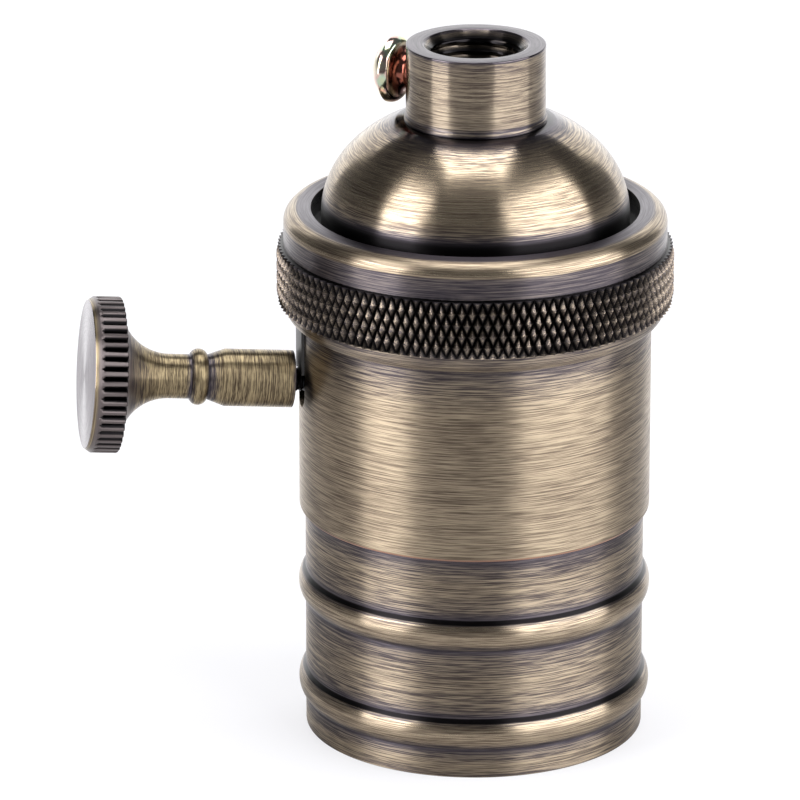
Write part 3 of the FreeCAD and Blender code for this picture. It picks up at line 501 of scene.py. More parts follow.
@dataclass(frozen=True)
class AgedBrass:
    """Brushed brass plating, browned by hand and rubbed back, with patina and with laid-on bands of stain,
    painted shade and painted reflection.
    """

    name: str
    stains: Sequence[Point]  # heights and how dark each is
    low: float
    high: float
    matrix: Matrix | None = None
    axis: Axis = Axis.Z
    gold: Colour = (0.42, 0.343, 0.246, 1)
    brown: Colour = (0.122, 0.092, 0.070, 1)
    patina: Colour = (0.104, 0.092, 0.107, 1)
    tarnish: Colour = (0.048, 0.042, 0.051, 1)
    polish: Sequence[Point] = ((0.0, 0.0),)  # heights and how bright each is rubbed
    polish_drop: float = 0.26
    roughness: float = 0.42
    roughness_spread: float = 0.06
    anisotropy: float = 0.93
    fine_grain: float = 16000.0
    coarse_grain: float = 9500.0
    streak_arc: float = 7.0
    long_share: float = 0.3
    streak_share: float = 0.85
    cloud_scale: float = 160.0
    relief: float = 4e-6
    stains_and_painted_light: Sequence[StainAndPaintedLight] = ()

    def along(self, graph: Graph, share: Socket, marks: Sequence[Point]) -> Socket:
        """Return a value that follows marks, each a height and the value there."""
        length = self.high - self.low
        return graph.ramp(share, [((height - self.low) / length, worth) for height, worth in marks])

    def build(self) -> bpy.types.Material:
        """Make the material.

        Returns:
            The new material.
        """
        graph = Graph(self.name)
        place = graph.coordinates(self.matrix)
        x, y, z = graph.parts(place)
        flat = graph.joined(x, y, 0.0)
        radius = graph.vector("LENGTH", flat).outputs["Value"]
        bearing = graph.vector("NORMALIZE", flat).outputs[0]
        long_arc = self.streak_arc * self.long_share
        fine = self.grain(graph, bearing, self.streak_arc, z, radius, self.fine_grain)
        coarse = self.grain(graph, bearing, long_arc, z, radius, self.coarse_grain)
        streak = graph.levels(graph.math("MULTIPLY", graph.math("ADD", fine, coarse), 0.5), 0.40, 0.60)
        cloud = graph.levels(graph.noise(place, self.cloud_scale, 3.0), 0.35, 0.7)
        streaked = graph.math("MULTIPLY", streak, self.streak_share)
        rubbed = graph.math("MULTIPLY_ADD", cloud, 1.0 - self.streak_share, streaked)
        metal = graph.mix(rubbed, self.brown, self.gold)
        share = graph.math("DIVIDE", graph.math("SUBTRACT", z, self.low), self.high - self.low)
        dark = self.along(graph, share, self.stains)
        loose = graph.math("MULTIPLY", graph.math("SUBTRACT", streak, 0.5), -0.5)
        slope = graph.math("MULTIPLY", dark, graph.math("SUBTRACT", 1.0, dark))
        edge = graph.math("MULTIPLY", slope, 4.0)
        mask = graph.levels(graph.math("MULTIPLY_ADD", loose, edge, dark), 0.0, 1.0)
        colour = graph.mix(mask, metal, graph.mix(streak, self.tarnish, self.patina))
        # Lay on the bands of stain, painted shade and painted reflection.
        for stain_and_painted_light in self.stains_and_painted_light:
            colour = stain_and_painted_light.over(graph, colour, radius, z)
        graph.put("Base Color", colour)
        roughest = self.roughness + self.roughness_spread / 2
        rough = graph.math("MULTIPLY_ADD", streak, -self.roughness_spread, roughest)
        shine = self.along(graph, share, self.polish)
        graph.put("Roughness", graph.math("MULTIPLY_ADD", shine, -self.polish_drop, rough))
        graph.put("Metallic", 1.0)
        graph.put("Anisotropic", self.anisotropy)
        graph.put("Anisotropic Rotation", 0.25)
        graph.tangent(self.axis)
        graph.bump(fine, self.relief, 0.5)
        return graph.material

    @staticmethod
    def grain(graph: Graph, bearing: Socket, arc_scale: float, height: Socket, radius: Socket,
              scale: float) -> Socket:
        """Draw noise out round the axis.

        Args:
            graph: The material's nodes.
            bearing: The way out from the axis, one metre long.
            arc_scale: How many grains there are to a radian.
            height: The place along the axis.
            radius: The distance from the axis.
            scale: How many grains there are to a metre, along the axis and away from it.

        Returns:
            The grain, about 0.5.
        """
        round_way = graph.add("VectorMath", {"Vector": bearing, "Scale": arc_scale}, operation="SCALE")
        along = graph.joined(0.0, 0.0, graph.math("MULTIPLY", height, scale))
        vector = graph.vector("ADD", round_way.outputs[0], along).outputs[0]
        return graph.noise(vector, 1.0, 3.0, graph.math("MULTIPLY", radius, scale))


@dataclass(frozen=True)
class PlainMetal:
    """Bright or blackened metal with stains and fine scratches."""

    name: str
    light: Colour
    dark: Colour
    roughness: float = 0.25
    stain_scale: float = 300.0

    def build(self) -> bpy.types.Material:
        """Make the material.

        Returns:
            The new material.
        """
        graph = Graph(self.name)
        place = graph.coordinates()
        stain = graph.levels(graph.noise(place, self.stain_scale, 4.0), 0.35, 0.68)
        graph.put("Base Color", graph.mix(stain, self.light, self.dark))
        graph.put("Roughness", graph.math("MULTIPLY_ADD", stain, 0.12, self.roughness))
        graph.put("Metallic", 1.0)
        graph.bump(graph.noise(place, self.stain_scale * 12, 3.0), 3e-6, 0.5)
        return graph.material


@dataclass(frozen=True)
class YellowSteel:
    """Yellow passivated steel, with the rainbow blotches of its film and a red-brown painted reflection of
    the brass neck on its shank and underside.
    """

    name: str
    matrix: Matrix
    under: float
    underside_painted_reflection: Colour = (0.24, 0.085, 0.062, 1)
    film: Sequence[tuple[float, Colour]] = (
        (0.30, (0.56, 0.50, 0.30, 1)),
        (0.44, (0.72, 0.66, 0.52, 1)),
        (0.54, (0.62, 0.42, 0.38, 1)),
        (0.62, (0.42, 0.52, 0.40, 1)),
        (0.74, (0.66, 0.56, 0.26, 1)),
    )
    roughness: float = 0.14

    def build(self) -> bpy.types.Material:
        """Make the material.

        Returns:
            The new material.
        """
        graph = Graph(self.name)
        place = graph.coordinates()
        height = graph.parts(graph.coordinates(self.matrix))[2]
        # Painted reflection: the shank and the inner part of the head's underside take a red brown that
        # stands in for the brass neck they face.
        below = graph.levels(height, self.under - 0.0001, self.under + 0.0001, 1.0, 0.0)
        film = graph.ramp(graph.noise(place, 330.0, 2.0), self.film)
        graph.put("Base Color", graph.mix(below, film, self.underside_painted_reflection))
        graph.put("Metallic", 1.0)
        graph.put("Roughness", self.roughness)
        graph.bump(graph.noise(place, 5200.0, 3.0), 2e-6, 0.4)
        return graph.material


@dataclass(frozen=True)
class Moulded:
    """Moulded plastic or fired clay, with a slight unevenness."""

    name: str
    light: Colour
    dark: Colour
    roughness: float
    grain: float = 900.0
    relief: float = 8e-6
    sink: float = 0.0

    def build(self) -> bpy.types.Material:
        """Make the material.

        Returns:
            The new material.
        """
        graph = Graph(self.name)
        place = graph.coordinates()
        cloud = graph.noise(place, self.grain * 0.2, 3.0)
        speck = graph.noise(place, self.grain * 4, 2.0)
        graph.put("Base Color", graph.mix(cloud, self.light, self.dark))
        graph.put("Roughness", graph.math("MULTIPLY_ADD", speck, 0.1, self.roughness))
        graph.put("Subsurface Weight", self.sink)
        graph.put("Subsurface Scale", 1e-3)
        graph.bump(speck, self.relief, 0.6)
        return graph.material


# ---- sub-assemblies ----


def finished(piece: Piece, body: str, nodes: Sequence[str], finish: bpy.types.Material) -> Piece:
    """Dress a piece, attach it to its body and hide the plain solids that it replaces.

    Args:
        piece: The new piece.
        body: The moving body that it rides on.
        nodes: The plain solids that it replaces.
        finish: Its material.

    Returns:
        The same piece.
    """
    piece.data.materials.clear()
    piece.data.materials.append(finish)
    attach(piece, body)
    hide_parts(*nodes)
    LOG.info("%s on %s: %d faces", piece.name, body, len(piece.data.polygons))
    return piece


@dataclass
class Shell:
    """The spun outer shell, with its rolled beads, step, slot and threaded end."""

    sleeve: float = 0.0172
    sleeve_bore: float = 0.0163
    upper: float = 0.0178
    upper_bore: float = 0.0168
    step: float = 0.02325
    step_round: float = 0.0005
    step_wall: float = 0.0009
    bead_height: float = 0.0007
    bead_width: float = 0.00325
    beads: tuple[float, ...] = (0.0030, 0.01355)
    bead_polish: float = 0.45
    thread_crest: float = 0.0173
    thread_bore: float = 0.0165
    thread_depth: float = 0.00035
    thread_start: float = 0.0446
    top: float = 0.0506
    pitch: float = 0.001
    slot_half: float = 0.002
    slot_bottom: float = 0.0346
    edge: float = 0.00015
    segments: int = 288
    stains: Sequence[Point] = (  # over the rim, each bead, the step, the upper cylinder and the thread
        (0.0, 0.5), (0.0012, 0.25), (0.0026, 0.75),
        (0.0030, 1.0), (0.0039, 0.1), (0.0054, 0.1), (0.00625, 1.0), (0.0073, 0.5), (0.0100, 0.3),
        (0.0128, 0.6), (0.01355, 1.0), (0.0145, 0.1), (0.0159, 0.1), (0.0168, 1.0), (0.0178, 0.5),
        (0.0205, 0.3), (0.0226, 0.75), (0.02325, 1.0), (0.0236, 0.0), (0.0250, 0.0),
        (0.0385, 0.05), (0.0420, 0.55), (0.0436, 0.8), (0.0506, 0.9),
    )

    def outline(self) -> Profile:
        """Return the shell's section.

        Returns:
            The closed outline, from the foot up outside and down inside.
        """
        outer = [(self.sleeve, 0.0)]
        for low in self.beads:
            outer += bulge(self.sleeve, low, self.bead_width, self.bead_height)
        outer += [(self.sleeve, self.step)]
        round_centre = (self.upper - self.step_round, self.step + self.step_round)
        outer += arc(round_centre, self.step_round, -90, 0, 8)
        outer += [(self.upper, self.thread_start)]
        outer += span(self.thread_crest, self.thread_start + 0.0002, self.top, 64)
        neck_in, step_in = self.thread_start - 0.001, self.step + self.step_wall
        inner = [(self.thread_bore, self.top), (self.thread_bore, neck_in), (self.upper_bore, neck_in)]
        inner += [(self.upper_bore, step_in), (self.sleeve_bore, step_in), (self.sleeve_bore, 0.0)]
        return eased(outer + inner, self.edge)

    def cut_slot(self, piece: Piece) -> None:
        """Cut the round-ended slot that the spindle drops into.

        Args:
            piece: The shell.
        """
        reach = self.upper * 1.2
        round_z = self.slot_bottom + self.slot_half
        high = (-self.upper / 2, self.slot_half, self.top * 1.1)
        cut_away(piece, box_piece("slot", (-reach, -self.slot_half, round_z), high))
        deselect()
        bpy.ops.mesh.primitive_cylinder_add(vertices=48, radius=self.slot_half, depth=reach / 2)
        turn = Matrix.Rotation(math.pi / 2, 4, "Y")
        cut_away(piece, placed(bpy.context.object, Matrix.Translation((-reach * 0.75, 0, round_z)) @ turn))

    def finish(self) -> AgedBrass:
        """Choose the shell's finish.

        Returns:
            The finish, with a copper line at the step and a black line in each bead's upper crease, patina
            deepened by painted shade.
        """
        shine = [(0.0, 0.0)]
        stains_and_painted_light = [StainAndPaintedLight(*ANYWHERE, self.step, self.step + 0.00022, 0.0001, (0.42, 0.24, 0.17, 1))]
        for low in self.beads:
            high = low + self.bead_width
            shine += [(low - 0.0002, 0.0), (low + 0.0003, self.bead_polish)]
            shine += [(high - 0.0003, self.bead_polish), (high + 0.0002, 0.0)]
            # Painted shade: a near-black line in the bead's upper crease, over the patina there.
            stains_and_painted_light.append(StainAndPaintedLight(*ANYWHERE, high - 0.0003, high + 0.00002, 0.00012))
        return AgedBrass("shell_brass", self.stains, 0.0, self.top, polish=shine, stains_and_painted_light=stains_and_painted_light)

    def build(self) -> None:
        """Make the shell."""
        piece = turned("shell", self.outline(), self.segments)
        low, high = self.thread_start + 0.0002, self.top - 0.0001
        Thread(self.thread_crest, self.thread_depth, self.pitch, low, high, fade=0.0004).cut(piece)
        self.cut_slot(piece)
        finished(smoothed(piece), "core", ["outer_shell"], self.finish().build())


@dataclass
class Collar:
    """The knurled collar that clamps the dome cap to the shell."""

    band: float = 0.0193
    lip: float = 0.0180
    lip_inset: float = 0.0004
    lip_angle: float = 78.0
    bottom: float = 0.04336
    hole: float = 0.01655
    bore: float = 0.01745
    counterbore: float = 0.0179
    counterbore_top: float = 0.0449
    web: float = 0.0528
    top: float = 0.05485
    shoulder: float = 0.01775
    shoulder_drop: float = 0.0014
    thread_depth: float = 0.0003
    pitch: float = 0.001
    knurl: float = 0.0200
    knurl_depth: float = 0.00048
    knurl_low: float = 0.0453
    knurl_high: float = 0.0511
    rim_drop: float = 0.00012
    diamonds: int = 120
    steps: int = 5
    land: float = 0.2

    @property
    def floor(self) -> float:
        """The radius of the knurl's hollows."""
        return self.knurl - self.knurl_depth

    def outline(self) -> Profile:
        """Return the collar's section, with the knurled band plain.

        Returns:
            The closed outline, from the lip up outside and down inside.
        """
        lip = arc((self.lip - self.lip_inset, self.knurl_low), self.band - self.lip + self.lip_inset,
                  -self.lip_angle, 0, 10)
        foot = lip[0][1]
        stretch = (self.knurl_low - self.bottom) / (self.knurl_low - foot)
        outer = [(radius, self.bottom + (z - foot) * stretch) for radius, z in lip]
        outer += span(self.floor, self.knurl_low, self.knurl_high, self.steps)
        outer += [(self.band, self.knurl_high)]
        centre = (self.shoulder, self.top - self.shoulder_drop)
        outer += ellipse(centre, self.band - self.shoulder, self.shoulder_drop, 0, 90, 10)
        inner = [(self.hole, self.top), (self.hole, self.web), (self.bore, self.web)]
        inner += reversed(span(self.bore, self.counterbore_top, self.web - 0.0004, 60))
        inner += [(self.counterbore, self.counterbore_top), (self.counterbore, self.bottom)]
        return outer + inner + outer[:1]

    def cut_knurl(self, piece: Piece) -> None:
        """Raise the diamonds that the crossed cuts leave.

        Args:
            piece: The collar, with a plain band.
        """
        height = (self.knurl_high - self.knurl_low) / self.steps
        peaks, rims, stains_and_painted_light = [], [], []
        for vertex, turn, radius, z in polar(piece):
            row = (z - self.knurl_low) / height
            on_band = abs(radius - self.floor) < 1e-6 and -0.1 < row < self.steps + 0.1
            if not on_band or abs(row - round(row)) > 0.01:
                continue
            column = round(turn * self.diamonds / math.pi)
            if (column + round(row)) % 2 == 0:
                stains_and_painted_light.append(vertex.index)
            elif round(row) in (0, self.steps):
                rims.append(vertex.index)
            else:
                peaks.append(vertex.index)
        self.choose(piece, stains_and_painted_light)
        bpy.ops.mesh.vert_connect()
        bpy.ops.object.mode_set(mode="OBJECT")
        full = self.floor + self.knurl_depth / (1 - self.land)
        for index in peaks:
            push(piece.data.vertices[index], full)
        for index in rims:
            push(piece.data.vertices[index], self.knurl - self.rim_drop)
        self.choose(piece, peaks)
        bpy.ops.mesh.bevel(offset_type="PERCENT", offset_pct=self.land * 100, affect="VERTICES", segments=1)
        bpy.ops.object.mode_set(mode="OBJECT")

    @staticmethod
    def choose(piece: Piece, indices: Sequence[int]) -> None:
        """Select some vertices alone and enter edit mode.

        Args:
            piece: The piece they belong to.
            indices: Their numbers.
        """
        pick(piece)
        bpy.ops.object.mode_set(mode="EDIT")
        bpy.ops.mesh.select_mode(type="VERT")
        bpy.ops.mesh.select_all(action="DESELECT")
        bpy.ops.object.mode_set(mode="OBJECT")
        for index in indices:
            piece.data.vertices[index].select = True
        bpy.ops.object.mode_set(mode="EDIT")

    def finish(self) -> AgedBrass:
        """Choose the collar's finish.

        Returns:
            The finish.
        """
        foot = self.top - self.shoulder_drop
        stains = ((self.bottom, 0.1), (self.knurl_low - 0.0016, 0.3), (self.knurl_low - 0.0005, 0.6),
                  (self.knurl_low, 0.55), (self.knurl_high - 0.0002, 0.55), (self.knurl_high, 1.0),
                  (self.knurl_high + 0.0002, 0.85), (foot - 0.0001, 0.8), (foot, 0.05), (foot + 0.0003, 0.0),
                  (self.top - 0.00006, 0.0), (self.top - 0.00002, 1.0))
        shine = ((0.0, 0.0), (foot - 0.0001, 0.4), (foot + 0.0003, 0.5), (self.top, 0.4))
        # Painted shade: the knurl's grooves near black.
        cuts = StainAndPaintedLight(self.floor + 0.00005, self.knurl - 0.00001,
                      self.knurl_low - 0.0001, self.knurl_high + 0.0001)
        # Painted shade: the wall of the collar's hole near black, in the gap round the dome.
        mouth = StainAndPaintedLight(self.hole + 0.00045, self.hole + 0.00065, 0.0440, self.top - 0.0001)
        return AgedBrass("collar_brass", stains, self.bottom, self.top, polish=shine, stains_and_painted_light=(cuts, mouth))

    def build(self) -> None:
        """Make the collar."""
        piece = turned("collar", self.outline(), 2 * self.diamonds)
        self.cut_knurl(piece)
        low, high = self.counterbore_top + 0.0002, self.web - 0.0006
        Thread(self.bore, self.thread_depth, self.pitch, low, high, Hand.INSIDE, 0.0004).cut(piece)
        finished(smoothed(piece, 28), "collar", ["knurled_collar"], self.finish().build())


@dataclass
class Cap:
    """The dome cap, its threaded neck and the neck's lock screw."""

    dome: float = 0.0155
    rise: float = 0.01073
    wall: float = 0.001
    middle: float = 0.05435
    crown: float = 0.002
    bottom: float = 0.05175
    flange: float = 0.0173
    seat: float = 0.0079
    dark_foot: float = 0.0556
    bright_top: float = 0.0610
    neck: float = 0.0070
    neck_lip: float = 0.00717
    neck_lip_height: float = 0.00055
    neck_top: float = 0.07185
    bore: float = 0.0045
    mouth: float = 0.0053
    mouth_depth: float = 0.0008
    tail: float = 0.0055
    swage: float = 0.0066
    swage_height: float = 0.00075
    thread_depth: float = 0.00045
    pitch: float = 0.001
    screw_turn: float = 143.8
    screw_rise: float = 0.0040
    screw_shank: float = 0.00175
    screw_head: float = 0.0034
    screw_under: float = 0.0088
    screw_head_height: float = 0.0023
    screw_flare: float = 0.0015
    screw_cushion: float = 0.0005
    screw_slot_half: float = 0.00045
    screw_slot_depth: float = 0.001

    @property
    def seat_top(self) -> float:
        """The height of the flat that the neck stands on."""
        lean = (self.seat - self.crown) / (self.dome - self.crown)
        return self.middle + self.rise * math.sqrt(1 - lean**2)

    @property
    def seat_under(self) -> float:
        """The height of the flat's underside."""
        return self.seat_top - self.wall

    def dome_outline(self) -> Profile:
        """Return the dome's section.

        Returns:
            The closed outline, from the flange up outside and down inside.
        """
        centre, across = (self.crown, self.middle), self.dome - self.crown
        top = math.degrees(math.asin((self.seat_top - self.middle) / self.rise))
        under_rise = self.rise - self.wall
        under = math.degrees(math.asin((self.seat_under - self.middle) / under_rise))
        flange_top = self.bottom + self.wall
        outline = [(self.dome - self.wall, self.bottom), (self.flange, self.bottom)]
        outline += [(self.flange, flange_top), (self.dome, flange_top)]
        outline += ellipse(centre, across, self.rise, 0, top, 48)
        outline += [(self.tail, self.seat_top), (self.tail, self.seat_under)]
        outline += ellipse(centre, across - self.wall, under_rise, under, 0, 24)
        return eased(outline, 0.00015)

    def make_dome(self) -> None:
        """Make the dome with its flange."""
        seat = self.seat_top
        stains = ((self.bottom, 1.0), (self.dark_foot, 1.0), (self.dark_foot + 0.001, 0.4),
                  (self.dark_foot + 0.002, 0.05), (self.bright_top, 0.0), (self.bright_top + 0.0018, 0.25),
                  (self.bright_top + 0.0026, 0.7), (seat - 0.00005, 1.0))
        # Painted shade and painted dark reflection: the dome's foot near black above the collar, over the
        # patina there.
        stains_and_painted_light = (StainAndPaintedLight(*ANYWHERE, self.bottom, self.dark_foot - 0.0003, 0.0009),
                   # Painted shadow: a dark ring on the seat round the neck's lip.
                   StainAndPaintedLight(self.seat - 0.0006, self.seat + 0.0003, seat - 0.0001, seat))
        finish = AgedBrass("dome_brass", stains, self.bottom, seat, stains_and_painted_light=stains_and_painted_light)
        piece = smoothed(turned("dome", self.dome_outline(), 256))
        finished(piece, "cap", ["dome_cap"], finish.build())

    def make_neck(self) -> None:
        """Make the neck with its inner thread."""
        seat, under, top = self.seat_top, self.seat_under, self.neck_top
        foot = under - self.swage_height
        lip = seat + self.neck_lip_height
        thread_top = top - self.mouth_depth
        outer = [(self.bore, foot), (self.swage, foot), (self.swage, under), (self.tail, under)]
        outer += [(self.tail, seat), (self.neck_lip, seat)]
        outer += [(self.neck_lip, lip - 0.00017), (self.neck, lip), (self.neck, top), (self.mouth, top)]
        inner = list(reversed(span(self.bore, foot + 0.0001, thread_top, 84)))
        piece = turned("neck", eased(outer + inner, 0.00012), 192)
        low, high = foot + 0.0003, thread_top + 1e-5
        thread = Thread(self.bore, self.thread_depth, self.pitch, low, high, Hand.INSIDE, 0.00015)
        thread.cut(piece, NEAR * 1.5)
        hole = [(0, 0), (self.screw_shank + 0.0001, 0), (self.screw_shank + 0.0001, self.neck + 0.001)]
        hole += [(0, self.neck + 0.001)]
        cut_away(piece, placed(turned("hole", hole, 48), self.screw_matrix()))
        stains = ((foot, 1.0), (seat, 1.0), (seat + 0.0004, 0.5), (lip, 0.85), (lip + 0.0005, 0.15),
                  (top - 0.00535, 0.1), (top - 0.00185, 0.12), (top - 0.00035, 0.35),
                  (top - 0.0001, 0.8), (top, 1.0))
        # Painted shade: the neck's threaded bore and its mouth chamfer near black.
        stain_and_painted_light = StainAndPaintedLight(self.bore + 0.0001, self.mouth, foot, top - 0.0003, 0.0003)
        finish = AgedBrass("neck_brass", stains, foot, top, stains_and_painted_light=(stain_and_painted_light,), streak_arc=4.0,
                           gold=(0.34, 0.282, 0.210, 1), brown=(0.105, 0.080, 0.065, 1))
        finished(smoothed(piece), "cap", ["threaded_neck"], finish.build())

    def screw_matrix(self) -> Matrix:
        """Return the turn and place that carry Z onto the lock screw's axis."""
        turn = Matrix.Rotation(math.radians(self.screw_turn), 4, "Z") @ Matrix.Rotation(math.pi / 2, 4, "Y")
        return Matrix.Translation((0, 0, self.seat_top + self.screw_rise)) @ turn

    def screw_outline(self, tip: float, rim: float, top: float) -> Profile:
        """Return the lock screw's section.

        Args:
            tip: The shank's end, along the screw's axis.
            rim: The widest place of the head.
            top: The head's crown.

        Returns:
            The outline, from the tip's middle to the crown's middle.
        """
        flare = self.screw_under - self.screw_flare
        cone = self.screw_flare - self.screw_cushion
        cheek = self.screw_head - self.screw_cushion * 1.4
        height = top - rim
        ball = (self.screw_head**2 + height**2) / (2 * height)
        half = math.degrees(math.asin(self.screw_head / ball))
        points = [(0.0, tip), (self.screw_shank - 0.0004, tip)]
        points += span(self.screw_shank, tip + 0.0004, flare, 40)
        points += ellipse((cheek, flare), self.screw_shank - cheek, cone, 6, 90, 14)
        points += ellipse((cheek, rim), self.screw_head - cheek, flare + cone - rim, 84, 6, 12)
        points += arc((0.0, top - ball), ball, 90 - half, 90, 16)[:-1]
        return points + [(0.0, top)]

    def make_lock_screw(self) -> None:
        """Make the lock screw with its domed, slotted head."""
        tip = self.bore + 0.0002
        rim = self.screw_under + self.screw_cushion
        top = self.screw_under + self.screw_head_height
        piece = turned("lock_screw", self.screw_outline(tip, rim, top), 96)
        flare = self.screw_under - self.screw_flare
        Thread(self.screw_shank, 0.0003, 0.0007, tip + 0.0004, flare, fade=0.0003).cut(piece)
        half, depth = self.screw_slot_half, self.screw_slot_depth
        cut_away(piece, box_piece("slot", (-0.01, -half, top - depth), (0.01, half, top + depth)))
        matrix = self.screw_matrix()
        placed(smoothed(piece), matrix)
        steel = YellowSteel("yellow_steel", matrix.inverted(), self.screw_under - self.screw_cushion)
        finished(piece, "lock_screw", ["neck_lock_screw"], steel.build())

    def build(self) -> None:
        """Make the three pieces."""
        self.make_dome()
        self.make_neck()
        self.make_lock_screw()


@dataclass
class Knob:
    """The turned knob with its fluted disc, and the spindle it is fixed to."""

    surface: float = 0.0178
    height: float = 0.0375
    tilt: float = 4.4
    gap: float = 0.0009
    socket: float = 0.006
    stem: float = 0.0029
    stem_length: float = 0.0069
    waist: float = 0.00225
    taper: float = 0.0018
    bead: float = 0.00285
    bead_length: float = 0.00175
    waist_length: float = 0.0021
    cove: float = 0.00505
    disc: float = 0.00785
    thickness: float = 0.0033
    edge: float = 0.00012
    bevel: float = 0.0006
    bevel_drop: float = 0.0004
    crown: float = 0.00014
    flutes: int = 48
    flute_depth: float = 0.00042
    flute_rest: float = 0.0004
    spindle: float = 0.00125
    spindle_inner: float = 0.01365

    def matrix(self) -> Matrix:
        """Return the turn and place that carry Z onto the spindle's axis, 0 at the shell's surface."""
        turn = Matrix.Rotation(math.radians(self.tilt), 4, "Y") @ Matrix.Rotation(-math.pi / 2, 4, "Y")
        return Matrix.Translation((-self.surface, 0, self.height)) @ turn

    @property
    def stem_end(self) -> float:
        """The end of the straight stem, as every place here from the shell's surface outwards."""
        return self.gap + self.stem_length

    @property
    def bead_start(self) -> float:
        """The bead's inner end."""
        return self.stem_end + self.taper

    @property
    def cove_start(self) -> float:
        """The end of the waist."""
        return self.bead_start + self.bead_length + self.waist_length

    @property
    def back(self) -> float:
        """The disc's back."""
        return self.cove_start + self.cove

    @property
    def front(self) -> float:
        """The disc's front edge."""
        return self.back + self.thickness

    @property
    def run_out(self) -> float:
        """Where the flutes end and the front bevel starts."""
        return self.front - self.bevel

    def outline(self) -> Profile:
        """Return the knob's section.

        Returns:
            The outline, from the stem's socket to the middle of the front.
        """
        start, back, front, run_out = self.gap, self.back, self.front, self.run_out
        points = [(0.0, start + self.socket), (self.spindle, start + self.socket)]
        points += [(self.spindle, start), (self.stem, start), (self.stem, self.stem_end)]
        points += [(self.waist, self.bead_start)]
        points += bulge(self.waist, self.bead_start, self.bead_length, self.bead - self.waist)
        points += arc((self.waist + self.cove, self.cove_start), self.cove, 180, 90, 24)
        points += [(self.disc - self.edge, back), (self.disc, back + self.edge)]
        points += [(self.disc, run_out - self.flute_rest), (self.disc, run_out - self.flute_rest / 2)]
        face = self.disc - self.bevel_drop
        points += [(self.disc, run_out), (face + self.edge / 3, front - self.edge / 2)]
        ball = (face**2 + self.crown**2) / (2 * self.crown)
        half = math.degrees(math.asin(face / ball))
        points += arc((0.0, front + self.crown - ball), ball, 90 - half, 90, 12)[:-1]
        return points + [(0.0, front + self.crown)]

    def cut_flutes(self, piece: Piece) -> None:
        """Press straight V grooves into the disc's rim, ending in points before the front.

        Args:
            piece: The knob, with a plain rim, still on the Z axis.
        """
        for vertex, turn, radius, z in polar(piece):
            if radius < self.disc - 0.0002 or not self.back - 1e-6 <= z <= self.run_out + 1e-6:
                continue
            column = (turn * self.flutes / FULL_TURN) % 1
            share = max(0.0, 1 - min(column, 1 - column) * 3)
            rest = max(0.0, z - (self.run_out - self.flute_rest)) / self.flute_rest
            push(vertex, radius - self.flute_depth * max(0.0, share - rest))

    def finish(self) -> AgedBrass:
        """Choose the knob's finish, with a painted reflection on the face, a dull mauve-grey rim and painted
        shade in the flutes.

        Returns:
            The finish.
        """
        stem_end, bead = self.stem_end, self.bead_start
        back, front, run_out = self.back, self.front, self.run_out
        stains = ((self.gap, 0.8), (self.gap + 0.0004, 0.15), (stem_end + 0.0005, 0.1), (bead, 1.0),
                  (bead + 0.0004, 0.0), (bead + 0.0013, 0.0), (bead + 0.0018, 1.0), (bead + 0.0023, 0.1),
                  (back - 0.0032, 0.15), (back - 0.0012, 0.65), (back, 0.8), (back + 0.0002, 0.3),
                  (run_out, 0.35), (front - 0.0002, 0.2), (front + 0.0001, 0.0))
        # Painted reflection: the face a lavender grey that stands in for the pale light it reflects.
        stains_and_painted_light = (StainAndPaintedLight(*ANYWHERE, front, front + 0.01, 0.00008, (0.15, 0.13, 0.148, 1)),
                   # The disc from just before its back to the flutes' ends a dull mauve grey in place of the
                   # gold.
                   StainAndPaintedLight(*ANYWHERE, back - 0.0003, run_out + 0.0001, 0.0004, (0.15, 0.128, 0.128, 1)),
                   # Painted shade: the flutes' grooves near black.
                   StainAndPaintedLight(self.disc - 0.00015, self.disc - 0.00002, back, run_out))
        shine = ((0.0, 0.0), (front - 0.0002, 0.0), (front, 0.8))
        return AgedBrass("knob_brass", stains, self.gap, front + self.crown, self.matrix().inverted(), Axis.X,
                         gold=(0.40, 0.322, 0.192, 1), brown=(0.078, 0.056, 0.037, 1), stains_and_painted_light=stains_and_painted_light,
                         streak_arc=3.0, polish=shine)

    def make_spindle(self) -> None:
        """Make the spindle with its threaded outer end."""
        inner, end, chamfer = -self.spindle_inner, self.gap + self.socket, 0.0002
        points = [(0.0, inner), (self.spindle - chamfer, inner), (self.spindle, inner + chamfer)]
        points += span(self.spindle, -0.002, end - chamfer, 100) + [(0.0, end)]
        rod = turned("spindle_rod", points, 64)
        Thread(self.spindle, 0.00018, 0.00045, -0.002, end, fade=0.0003).cut(rod)
        black = PlainMetal("black_steel", (0.03, 0.03, 0.032, 1), (0.012, 0.012, 0.012, 1), 0.35)
        finished(placed(smoothed(rod), self.matrix()), "knob", ["spindle"], black.build())

    def build(self) -> None:
        """Make the knob and the spindle."""
        piece = turned("knob_turned", self.outline(), self.flutes * 8)
        self.cut_flutes(piece)
        placed(smoothed(piece, 24), self.matrix())
        finished(piece, "knob", ["knob"], self.finish().build())
        self.make_spindle()


